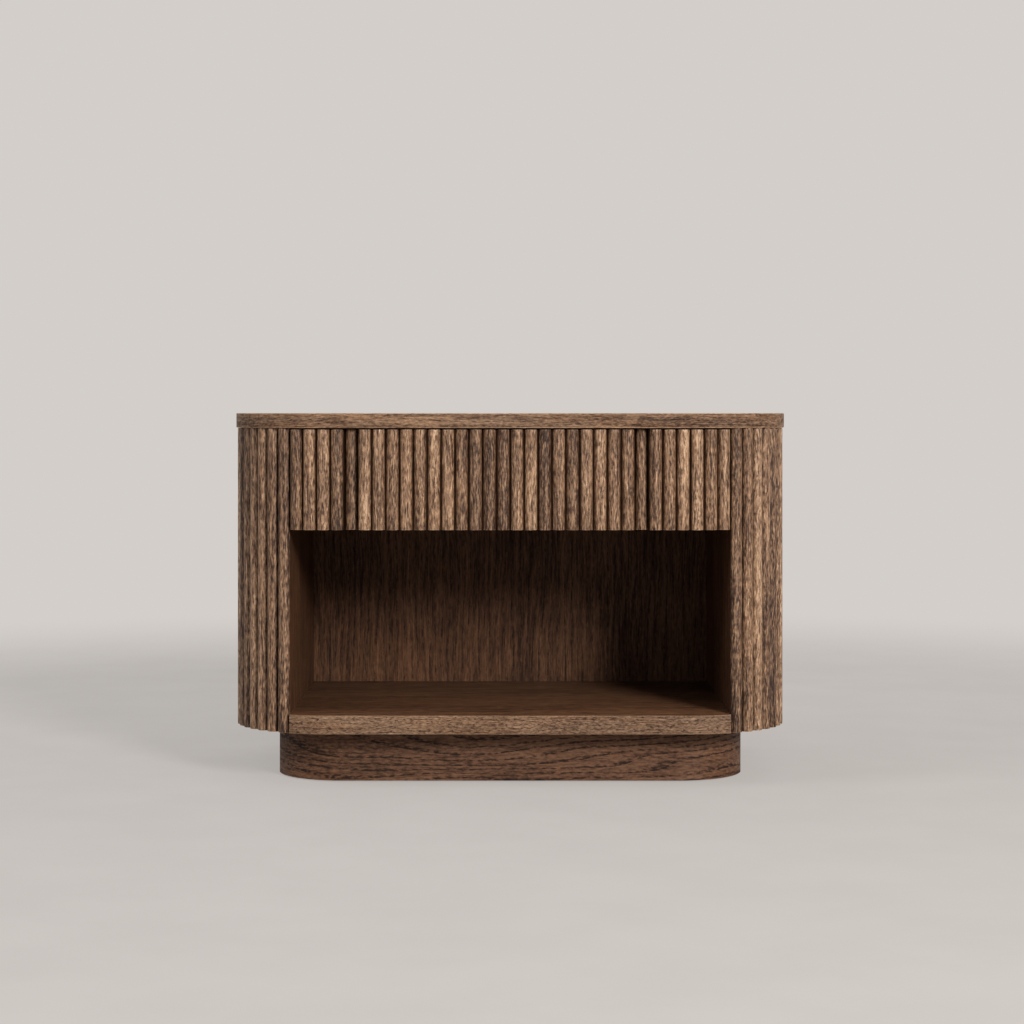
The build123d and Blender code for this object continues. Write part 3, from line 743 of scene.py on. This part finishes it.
@dataclass
class TurnedParts:
    """One group of screws, glides or bumpers, each turned to fill the place of its solid."""

    name: str
    node: str
    kind: Turned
    axis: int
    steps: int = 20
    rim: float = 0.0007
    recess_width: float = 0.0009
    recess_depth: float = 0.0012

    def outline(self, head: float, thickness: float, shank: float, length: float) -> Section:
        """Half section of the part, from the outer side of its head to its tip.

        Args:
            head: radius of the head.
            thickness: height of the head, which lies below zero.
            shank: radius of the shank.
            length: length of the shank above zero.

        Returns:
            Points as distance from the axis and height.
        """
        if self.kind is Turned.BUMPER:
            rise = ((1.0, 0.35), (0.9, 0.75), (0.6, 0.96), (0.0, 1.0))
            return [(0.0, 0.0), (head, 0.0), *((head * out, length * up) for out, up in rise)]
        if self.kind is Turned.GLIDE:
            low, rim = -thickness, self.rim
            pad = [(0.0, low), (head - rim, low), (head - rim * 0.3, low + rim * 0.3), (head, low + rim)]
            pad += [(head, -rim * 0.3), (head - rim * 0.3, 0.0)]
            return [*pad, (shank, 0.0), (shank, length * 0.9), (shank * 0.5, length), (0.0, length)]
        dome = [(0.0, -1.0), (0.66, -1.0), (0.9, -0.75), (1.0, -0.3), (1.0, 0.0)]
        top = [(head * out, thickness * up) for out, up in dome]
        return [*top, (shank, 0.0), (shank, length - 2 * shank), (0.0, length)]

    def sink_cross(self, bm: bmesh.types.BMesh, head: float, thickness: float) -> None:
        """Sinks a cross into the flat outer side of a head."""
        reach, half, flat = head * 0.55, self.recess_width / 2, MERGE - thickness
        for direction in (Vector((1, 0, 0)), Vector((0, 1, 0))):
            for distance in (-reach, -half, half, reach):
                faces = [f for f in bm.faces if all(v.co.z < flat for v in f.verts)]
                geometry = dict.fromkeys(part for face in faces for part in (face, *face.edges, *face.verts))
                bmesh.ops.bisect_plane(
                    bm, geom=list(geometry), dist=MERGE / 10, plane_co=direction * distance,
                    plane_no=direction,
                )
        cross = []
        for face in bm.faces:
            middle = face.calc_center_median()
            near, far = sorted((abs(middle.x), abs(middle.y)))
            if all(v.co.z < flat for v in face.verts) and near < half and far < reach:
                cross.append(face)
        grown = bmesh.ops.extrude_face_region(bm, geom=cross)["geom"]
        bmesh.ops.delete(bm, geom=cross, context="FACES")
        floor = [part for part in grown if isinstance(part, bmesh.types.BMVert)]
        depth = min(self.recess_depth, thickness * 0.7)
        bmesh.ops.translate(bm, vec=(0, 0, depth), verts=floor)

    def turn(self, head: float, thickness: float, shank: float, length: float) -> bpy.types.Mesh:
        """One part along the upright axis, as a mesh to stamp."""
        bm = new_bmesh()
        section = self.outline(head, thickness, shank, length)
        verts = [bm.verts.new((out, 0.0, level)) for out, level in section]
        edges = [bm.edges.new(pair) for pair in zip(verts, verts[1:])]
        bmesh.ops.spin(
            bm, geom=verts + edges, cent=(0, 0, 0), axis=(0, 0, 1), angle=2 * math.pi, steps=self.steps,
            use_merge=True,
        )
        bmesh.ops.remove_doubles(bm, verts=bm.verts, dist=MERGE)
        if self.kind is Turned.SCREW:
            self.sink_cross(bm, head, thickness)
        bmesh.ops.recalc_face_normals(bm, faces=bm.faces)
        mesh = bpy.data.meshes.new(self.kind.value)
        bm.to_mesh(mesh)
        bm.free()
        return mesh

    def build(self, material: bpy.types.Material) -> None:
        """Measures each solid of the node and stamps a turned part in its place."""
        bm = new_bmesh()
        along = Vector([float(i == self.axis) for i in range(3)])
        for part in loose_parts(self.node):
            levels = [point[self.axis] for point in part]
            low, high = min(levels), max(levels)
            middle = Vector([(min(p[i] for p in part) + max(p[i] for p in part)) / 2 for i in range(3)])
            reach = [(point - middle - along * (point - middle).dot(along)).length for point in part]
            wide = max(reach)
            low_reach = max(r for r, level in zip(reach, levels) if level - low < SAME_LEVEL)
            high_reach = max(r for r, level in zip(reach, levels) if high - level < SAME_LEVEL)
            head_low = low_reach > high_reach + SAME_LEVEL
            wide_levels = [level for r, level in zip(reach, levels) if r > wide * 0.9]
            thickness = 0.0 if self.kind is Turned.BUMPER else max(wide_levels) - min(wide_levels)
            stick = self.turn(wide, thickness, min(low_reach, high_reach), high - low - thickness)
            first = len(bm.verts)
            bm.from_mesh(stick)
            bpy.data.meshes.remove(stick)
            middle[self.axis] = low + thickness if head_low else high - thickness
            facing = (along if head_low else -along).to_track_quat("Z", "Y").to_matrix().to_4x4()
            bm.verts.ensure_lookup_table()
            bmesh.ops.transform(bm, matrix=Matrix.Translation(middle) @ facing, verts=bm.verts[first:])
        body = Body(frame["nodes"][self.node]["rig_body"])
        finish_piece(bm, self.name, body, [self.node], [material])


@dataclass
class CurvedBoard:
    """Board with rounded front corners and eased edges, such as the slab or the shelf."""

    name: str
    node: str
    slot: str
    faces: OakFinish
    edges: OakFinish
    plan: Plan
    low: float
    high: float
    ease: float = 0.0012
    cut_x: float | None = None
    corner_steps: int = 40

    def shape(self) -> bmesh.types.BMesh:
        """Cuts the board to its plan and eases its edges."""
        bm = rounded_block(self.plan, self.low, self.high, self.corner_steps)
        if self.cut_x is not None:
            for side in (1, -1):
                cut_off(bm, (side * self.cut_x, 0, 0), (side, 0, 0))
        bevel(bm, sharp_edges(bm), self.ease, 3)
        bmesh.ops.recalc_face_normals(bm, faces=bm.faces)
        return bm

    def grain(self, point: Vector, normal: Vector) -> tuple[float, float]:
        """Grain across the width on the faces, and round the outline on the edges."""
        if abs(normal.z) > MAPPED_LEAN:
            return point.x, point.y
        if normal.y > 0.5:
            return point.x, point.z + 1.0
        return self.plan.run_at(point.x, point.y), point.z + 2.0

    def build(self, shop: Workshop) -> None:
        """Makes the board."""
        bm = self.shape()
        map_grain(bm, bm.faces, self.grain)
        # Eased arrises, neither flat nor upright, take the paler oak: wear, and a painted highlight along the
        # edges
        for face in bm.faces:
            lean = abs(face.normal.z)
            face.material_index = 0 if lean > FLAT_LEAN else 1 if lean < UPRIGHT_LEAN else 2
        materials = [shop.material(finish) for finish in (self.faces, self.edges, WEAR_AND_HIGHLIGHT_EDGE_OAK)]
        finish_piece(bm, self.name, Body.CASE, [self.node], materials)


@dataclass
class ReedCutter:
    """Half-round reeds with eased ends and a brushed, slightly uneven surface."""

    width: float = 0.0202
    height: float = 0.010
    gap: float = 0.00225
    reeds_to_wall: int = 16
    base: Plan = field(default_factory=lambda: Plan(0.448, -0.242, BACK_Y, 0.153))
    profile_steps: int = 14
    ring_step: float = 0.006
    end_ease: float = 0.0007
    wear: float = 0.00035
    wear_size: tuple[float, float] = (220.0, 28.0)
    wear_start: float = 0.001

    @property
    def pitch(self) -> float:
        """Distance along the base line from one reed to the next, so that a whole number reaches the wall."""
        turn = math.asin((WALL_X - self.base.corner_x) / self.base.radius)
        return (self.base.corner_x + self.base.radius * turn - self.gap / 2) / self.reeds_to_wall

    def stick(self, low: float, high: float) -> bpy.types.Mesh:
        """One straight reed on the origin, between two heights, as a mesh to stamp."""
        bm = new_bmesh()
        start = bm.verts.new((self.width / 2, 0, low))
        bmesh.ops.spin(
            bm, geom=[start], cent=(0, 0, low), axis=(0, 0, 1), angle=-math.pi, steps=self.profile_steps
        )
        bmesh.ops.scale(bm, vec=(1, self.height / (self.width / 2), 1), verts=bm.verts)
        profile = bmesh.ops.contextual_create(bm, geom=bm.verts[:])["faces"]
        grown = bmesh.ops.extrude_face_region(bm, geom=profile)["geom"]
        top = [v for v in grown if isinstance(v, bmesh.types.BMVert)]
        bmesh.ops.translate(bm, vec=(0, 0, high - low), verts=top)
        bmesh.ops.recalc_face_normals(bm, faces=bm.faces)
        rims = [e for e in bm.edges if abs(e.verts[0].co.z - e.verts[1].co.z) < MERGE]
        rims = [e for e in rims if min(v.co.y for v in e.verts) < -MERGE]
        bevel(bm, rims, self.end_ease, 2)
        tall = [e for e in bm.edges if abs(e.verts[0].co.z - e.verts[1].co.z) > (high - low) / 2]
        cuts = round((high - low) / self.ring_step)
        bmesh.ops.subdivide_edges(bm, edges=tall, cuts=cuts, use_grid_fill=True)
        half = self.width / 2

        def grain(point: Vector, normal: Vector) -> tuple[float, float]:
            """Grain along the reed, with the way round its profile across."""
            round_way = math.atan2(point.x, -point.y) if point.y < -MERGE else 0.0
            if abs(normal.z) > MAPPED_LEAN:
                return point.z + point.y * 0.2, point.x + half
            if normal.y > MAPPED_LEAN:
                return point.z, point.x + 1.0
            if point.y >= -MERGE:
                round_way = math.copysign(math.pi / 2, point.x)
            return point.z, half * (round_way + math.pi / 2)

        map_grain(bm, bm.faces, grain)
        # Eased end rims take the paler end oak: wear, and a painted highlight along the rims
        for face in bm.faces:
            face.material_index = 1 if UPRIGHT_LEAN < abs(face.normal.z) < FLAT_LEAN else 0
        mesh = bpy.data.meshes.new("reed_stick")
        bm.to_mesh(mesh)
        bm.free()
        return mesh

    def wear_down(self, bm: bmesh.types.BMesh, start: int, number: int) -> None:
        """Lowers the crown of a reed on the origin here and there, as wire brushing does."""
        across, lengthwise = self.wear_size
        bm.verts.ensure_lookup_table()
        for vert in bm.verts[start:]:
            if vert.co.y > -self.wear_start:
                continue
            spot = Vector((vert.co.x * across, number * 7.3, vert.co.z * lengthwise))
            low_spot = 0.5 + 0.5 * noise.noise(spot)
            fine = 0.5 + 0.5 * noise.noise(spot * 2.7)
            drop = self.wear * (0.7 * low_spot + 0.3 * fine)
            inwards = Vector((vert.co.x, vert.co.y, 0)).normalized()
            vert.co -= inwards * drop

    def row(self, runs: Section, low: float, high: float, seed: int) -> bmesh.types.BMesh:
        """Several reeds on the base line.

        Args:
            runs: for each reed its signed run from the front's middle, and how far it is set back.
            low: height of the reeds' lower ends.
            high: height of their upper ends.
            seed: number of the first reed, which sets its stretch of grain.

        Returns:
            The reeds as one bmesh.
        """
        stick = self.stick(low, high)
        bm = new_bmesh()
        layer = bm.loops.layers.uv["grain"]
        for index, (run, set_back) in enumerate(runs):
            first_vert, first_face = len(bm.verts), len(bm.faces)
            bm.from_mesh(stick)
            self.wear_down(bm, first_vert, seed + index)
            x, y, turn = self.base.place_at(abs(run))
            side = math.copysign(1.0, run)
            place = Matrix.Translation((side * x, y + set_back, 0)) @ Matrix.Rotation(side * turn, 4, "Z")
            bm.verts.ensure_lookup_table()
            bmesh.ops.transform(bm, matrix=place, verts=bm.verts[first_vert:])
            bm.faces.ensure_lookup_table()
            for face in bm.faces[first_face:]:
                for loop in face.loops:
                    loop[layer].uv.y += (seed + index) * REED_GRAIN_STEP
        bpy.data.meshes.remove(stick)
        bmesh.ops.recalc_face_normals(bm, faces=bm.faces)
        return bm


@dataclass
class Pillars:
    """The two reeded side pillars of the case."""

    reeds: ReedCutter
    first_reed: int = 16
    first_side_reed: int = 24
    last_reed: int = 39

    def build(self, shop: Workshop) -> None:
        """Makes the corner reeds and side reeds, and dresses the boards behind them."""
        oak = [shop.material(REED_OAK), shop.material(REED_END_WEAR_AND_HIGHLIGHT_OAK)]
        spans = (
            ("corner", self.first_reed, self.first_side_reed),
            ("side", self.first_side_reed, self.last_reed),
        )
        for hand, side in (("left", -1), ("right", 1)):
            for part, start, stop in spans:
                runs = [(side * (i + 0.5) * self.reeds.pitch, 0.0) for i in range(start, stop)]
                seed = start + (100 if side > 0 else 200)
                bm = self.reeds.row(runs, PLINTH_TOP, CASE_REED_TOP, seed)
                node = f"{part}_reeds_{hand}"
                finish_piece(bm, f"{hand}_{part}_reeds", Body.CASE, [node], oak)
            for board in ("inner_side_panel", "outer_side_panel", "rear_stile"):
                shop.dress(f"{board}_{hand}", PANEL_OAK)
            shop.dress(f"corner_shell_{hand}", BACKING_OAK)
            for plate in ("side_top_plate", "side_bottom_plate"):
                shop.dress(f"{plate}_{hand}", BOARD_OAK)


@dataclass
class DrawerFront:
    """The reeded drawer front with its two finger recesses."""

    reeds: ReedCutter
    count: int = 32
    pulls: tuple[int, int] = (5, 26)
    pull_depth: float = 0.015

    def run(self, number: int) -> float:
        """Signed run from the middle of the front to a reed, numbered from the left."""
        return (number - 0.5 - self.count / 2) * self.reeds.pitch

    def build(self, shop: Workshop) -> None:
        """Makes the drawer's reeds and the two that are set back."""
        oak = [shop.material(REED_OAK), shop.material(REED_END_WEAR_AND_HIGHLIGHT_OAK)]
        numbers = range(1, self.count + 1)
        runs = [(self.run(n), 0.0) for n in numbers if n not in self.pulls]
        bm = self.reeds.row(runs, BAND_BOTTOM, DRAWER_REED_TOP, 300)
        finish_piece(bm, "drawer_reeds", Body.DRAWER, ["drawer_front_reeds"], oak)
        runs = [(self.run(n), self.pull_depth) for n in self.pulls]
        bm = self.reeds.row(runs, BAND_BOTTOM, DRAWER_REED_TOP, 400)
        finish_piece(bm, "pull_reeds", Body.DRAWER, ["finger_pull_reeds"], oak)
        shop.dress("drawer_front_panel", BACKING_OAK)


@dataclass
class Plinth:
    """The recessed plinth, one bent wrap whose grain runs on through its joints."""

    plan: Plan = field(default_factory=lambda: Plan(0.3895, -0.1835, 0.1855, 0.115))
    low: float = 0.002
    board: float = 0.018
    corner_steps: int = 32

    def wrap(self) -> bmesh.types.BMesh:
        """The front and sides as one curved wall, open at the back."""
        bm = rounded_block(self.plan, self.low, PLINTH_TOP, self.corner_steps)
        bmesh.ops.recalc_face_normals(bm, faces=bm.faces)
        unwanted = [f for f in bm.faces if abs(f.normal.z) > 0.5 or f.normal.y > 0.5]
        bmesh.ops.delete(bm, geom=unwanted, context="FACES")
        bmesh.ops.solidify(bm, geom=bm.faces[:], thickness=self.board)
        bmesh.ops.recalc_face_normals(bm, faces=bm.faces)
        return bm

    def piece(self, cuts: Iterable[tuple[Point, Point]]) -> bmesh.types.BMesh:
        """The part of the wrap behind every one of some planes, each a point and its outward normal."""
        bm = self.wrap()
        for point, normal in cuts:
            cut_off(bm, point, normal)
        bmesh.ops.recalc_face_normals(bm, faces=bm.faces)
        return bm

    def grain(self, point: Vector, normal: Vector) -> tuple[float, float]:
        """Grain round the outline, with the height across it."""
        return self.plan.run_at(point.x, point.y), point.z

    def build(self, shop: Workshop) -> None:
        """Makes the front, the bent corners and the sides, and dresses what is inside."""
        oak = shop.material(PLINTH_OAK)
        x, y = self.plan.corner_x, self.plan.corner_y
        spans = {"plinth_front": [((x, 0, 0), (1, 0, 0)), ((-x, 0, 0), (-1, 0, 0))]}
        for hand, side in (("left", -1), ("right", 1)):
            spans[f"plinth_corner_{hand}"] = [((side * x, 0, 0), (-side, 0, 0)), ((0, y, 0), (0, 1, 0))]
            spans[f"plinth_side_{hand}"] = [((side * x, 0, 0), (-side, 0, 0)), ((0, y, 0), (0, -1, 0))]
        for node, cuts in spans.items():
            bm = self.piece(cuts)
            map_grain(bm, bm.faces, self.grain)
            finish_piece(bm, f"oak_{node}", Body.CASE, [node], [oak])
        shop.dress("plinth_back", BOARD_OAK)
        for node in ("plinth_glue_blocks", "plinth_cleats", "plinth_cross_rail"):
            shop.dress(node, SOFTWOOD)


@dataclass
class Carcass:
    """Slab, shelf, deck, rails and back of the case."""

    slab: CurvedBoard = field(default_factory=lambda: CurvedBoard(
        "slab", "top_slab", "oak_slab", SLAB_OAK, SLAB_OAK, Plan(0.460, -0.254, BACK_Y, 0.165), 0.582, 0.606,
    ))
    shelf: CurvedBoard = field(default_factory=lambda: CurvedBoard(
        "shelf_board", "bottom_shelf", "oak_shelf", SHELF_TOP_OAK, SHELF_EDGE_OAK,
        Plan(0.458, -0.252, BACK_Y, 0.163), PLINTH_TOP, 0.1175, cut_x=WALL_X,
    ))

    def build(self, shop: Workshop) -> None:
        """Makes the slab and the shelf, and dresses the boards that keep their shape."""
        self.slab.build(shop)
        self.shelf.build(shop)
        shop.dress("back_panel", PANEL_OAK)
        for node in ("drawer_deck", "top_front_rail", "top_back_rail"):
            shop.dress(node, BOARD_OAK)


@dataclass
class DrawerBox:
    """The plywood drawer box."""

    def build(self, shop: Workshop) -> None:
        """Dresses the box."""
        for node in ("drawer_side_left", "drawer_side_right"):
            shop.dress(node, DRAWER_PLY)
        for node in ("drawer_box_front", "drawer_box_back"):
            shop.dress(node, END_PLY)
        shop.dress("drawer_bottom", FLOOR_PLY)


@dataclass
class Hardware:
    """Runners, screws, dowels, floor glides and bumpers."""

    groups: tuple[TurnedParts, ...] = (
        TurnedParts("runner_to_case_screws", "runner_screws_case", Turned.SCREW, 0),
        TurnedParts("runner_to_drawer_screws", "runner_screws_drawer", Turned.SCREW, 0),
        TurnedParts("slab_screws", "top_fixing_screws", Turned.SCREW, 2),
        TurnedParts("back_screws", "back_panel_screws", Turned.SCREW, 1),
        TurnedParts("front_screws", "drawer_front_screws", Turned.SCREW, 1),
        TurnedParts("cleat_screws", "plinth_screws", Turned.SCREW, 2),
        TurnedParts("nylon_glides", "floor_glides", Turned.GLIDE, 2),
        TurnedParts("gel_bumpers", "drawer_bumpers", Turned.BUMPER, 1),
    )

    def build(self, shop: Workshop) -> None:
        """Dresses the runners and turns the fasteners, glides and bumpers."""
        for hand in ("left", "right"):
            for channel in ("cabinet", "middle", "drawer"):
                shop.dress(f"runner_{channel}_channel_{hand}", ZINC)
            for cage in ("outer", "inner"):
                shop.dress(f"{cage}_ball_cage_{hand}", BRIGHT_STEEL)
        finishes = {Turned.SCREW: ZINC, Turned.GLIDE: NYLON, Turned.BUMPER: BUMPER_GEL}
        for group in self.groups:
            group.build(shop.material(finishes[group.kind]))
        shop.dress("carcass_dowels", BEECH)


def seen_directly(nodes: Any, links: Any) -> bpy.types.NodeSocket:
    """Socket that is 1 for what the camera sees straight, in a reflection or through glass."""
    path = nodes.new("ShaderNodeLightPath")
    seen = path.outputs["Is Camera Ray"]
    for other in ("Is Glossy Ray", "Is Transmission Ray"):
        either = nodes.new("ShaderNodeMath")
        either.operation = "MAXIMUM"
        links.new(seen, either.inputs[0])
        links.new(path.outputs[other], either.inputs[1])
        seen = either.outputs[0]
    return seen


@dataclass
class Studio:
    """Camera, pale floor, soft lamps and the light all round."""

    eye: Vector = field(default_factory=lambda: Vector((0.0, -3.980, 0.606)))
    aim: Vector = field(default_factory=lambda: Vector((0.0, -0.1, 0.3)))
    lens: float = 81.2
    shift: tuple[float, float] = (0.0018, -0.0965)
    floor_size: float = 24.0
    floor_fade: tuple[float, float] = (1.5, 3.2)
    floor_colour: Colour = paint(206, 202, 198)
    floor_tone: Colour = paint(203, 198, 194)
    floor_stain: Colour = paint(150, 146, 142)
    floor_evenness: float = 0.6
    backdrop: Colour = paint(211, 206, 202)
    ambient: float = 0.43

    def camera(self) -> None:
        """Level camera at the height of the slab."""
        data = bpy.data.cameras.new("camera")
        data.lens = self.lens
        data.sensor_width = 36.0
        data.shift_x, data.shift_y = self.shift
        camera = bpy.data.objects.new("camera", data)
        camera.location = self.eye
        camera.rotation_euler = (math.pi / 2, 0, 0)
        bpy.context.scene.collection.objects.link(camera)
        bpy.context.scene.camera = camera

    def lamp(
        self, name: str, turn: float, rise: float, size: float, level: float, colour: Colour,
        reach: float = 7.0,
    ) -> None:
        """Round soft lamp that faces the object, and that the camera doesn't see.

        Args:
            name: name of the lamp.
            turn: degrees to the right of straight ahead.
            rise: degrees above the horizon.
            size: diameter in metres.
            level: share of full daylight that it gives a white board that faces it.
            colour: colour of its light.
            reach: distance from the object in metres.
        """
        data = bpy.data.lights.new(name, "AREA")
        data.shape = "DISK"
        data.size = size
        data.energy = level * (math.pi * reach) ** 2
        data.color = colour[:3]
        side, up = math.radians(turn), math.radians(rise)
        ahead = Vector((math.sin(side) * math.cos(up), -math.cos(side) * math.cos(up), math.sin(up)))
        lamp = bpy.data.objects.new(name, data)
        lamp.location = self.aim + ahead * reach
        lamp.rotation_euler = ahead.to_track_quat("Z", "Y").to_euler()
        lamp.visible_camera = False
        bpy.context.scene.collection.objects.link(lamp)

    def floor(self) -> None:
        """Pale floor that fades into the backdrop for the camera alone, and doesn't hide the underside."""
        bm = new_bmesh()
        bmesh.ops.create_grid(bm, x_segments=1, y_segments=1, size=self.floor_size / 2)
        mesh = bpy.data.meshes.new("floor")
        bm.to_mesh(mesh)
        bm.free()
        floor = bpy.data.objects.new("floor", mesh)
        bpy.context.scene.collection.objects.link(floor)

        graph = Graph("pale_floor")
        x, y, _ = graph.object_place()
        squares = graph.math("ADD", graph.math("MULTIPLY", x, x), graph.math("MULTIPLY", y, y))
        reach = graph.math("SQRT", squares)
        far = graph.fit(reach, *self.floor_fade, 0.0, 1.0)
        seen = seen_directly(graph.nodes, graph.links)
        mottle = graph.noise(graph.vector(graph.scaled(x, 5.0), graph.scaled(y, 5.0)), 5.0, 0.6)
        mottle = graph.fit(mottle, 0.3, 0.7, 0.0, 0.06)
        colour = graph.mix(mottle, self.floor_colour, self.floor_stain)
        lit = graph.node("ShaderNodeBsdfDiffuse", {"Color": colour}).outputs[0]
        shown = graph.mix(mottle, self.floor_tone, self.floor_stain)
        glow = graph.node("ShaderNodeEmission", {"Color": shown})
        even = graph.math("MULTIPLY", seen, self.floor_evenness)
        solid = graph.node("ShaderNodeMixShader", {0: even, 1: lit, 2: glow.outputs[0]}).outputs[0]
        clear = graph.node("ShaderNodeBsdfTransparent").outputs[0]
        below = graph.node("ShaderNodeNewGeometry").outputs["Backfacing"]
        share = graph.math("MULTIPLY", graph.math("MAXIMUM", far, below), seen)
        mixed = graph.node("ShaderNodeMixShader", {0: share, 1: solid, 2: clear}).outputs[0]
        graph.node("ShaderNodeOutputMaterial", {0: mixed})
        mesh.materials.append(graph.material)

    def surroundings(self) -> None:
        """Even light all round, and the pale backdrop that the camera and reflections see."""
        world = bpy.data.worlds.new("studio")
        bpy.context.scene.world = world
        world.use_nodes = True
        nodes, links = world.node_tree.nodes, world.node_tree.links
        nodes.clear()
        seen = seen_directly(nodes, links)
        ambient = nodes.new("ShaderNodeBackground")
        ambient.inputs["Color"].default_value = (1.0, 0.98, 0.96, 1.0)
        ambient.inputs["Strength"].default_value = self.ambient
        backdrop = nodes.new("ShaderNodeBackground")
        backdrop.inputs["Color"].default_value = self.backdrop
        mixed = nodes.new("ShaderNodeMixShader")
        links.new(seen, mixed.inputs[0])
        links.new(ambient.outputs[0], mixed.inputs[1])
        links.new(backdrop.outputs[0], mixed.inputs[2])
        output = nodes.new("ShaderNodeOutputWorld")
        links.new(mixed.outputs[0], output.inputs[0])

    def build(self) -> None:
        """Sets up the whole studio."""
        self.camera()
        self.floor()
        self.surroundings()
        warm, cool = (1.0, 0.955, 0.90, 1.0), (0.96, 0.98, 1.0, 1.0)
        self.lamp("key", 29.0, 20.0, 1.8, 0.91, warm)
        self.lamp("fill", -68.0, 34.0, 3.6, 0.22, cool)
        bpy.context.scene.view_settings.view_transform = "Standard"
        log.info("studio: camera, floor, two lamps and the light all round")


def main() -> None:
    """Builds the nightstand's looks and the studio."""
    logging.basicConfig(level=logging.INFO, format="%(name)s: %(message)s")
    shop = Workshop()
    reeds = ReedCutter()
    Studio().build()
    Carcass().build(shop)
    Pillars(reeds).build(shop)
    DrawerFront(reeds).build(shop)
    Plinth().build(shop)
    DrawerBox().build(shop)
    Hardware().build(shop)


if __name__ == "__main__":
    main()
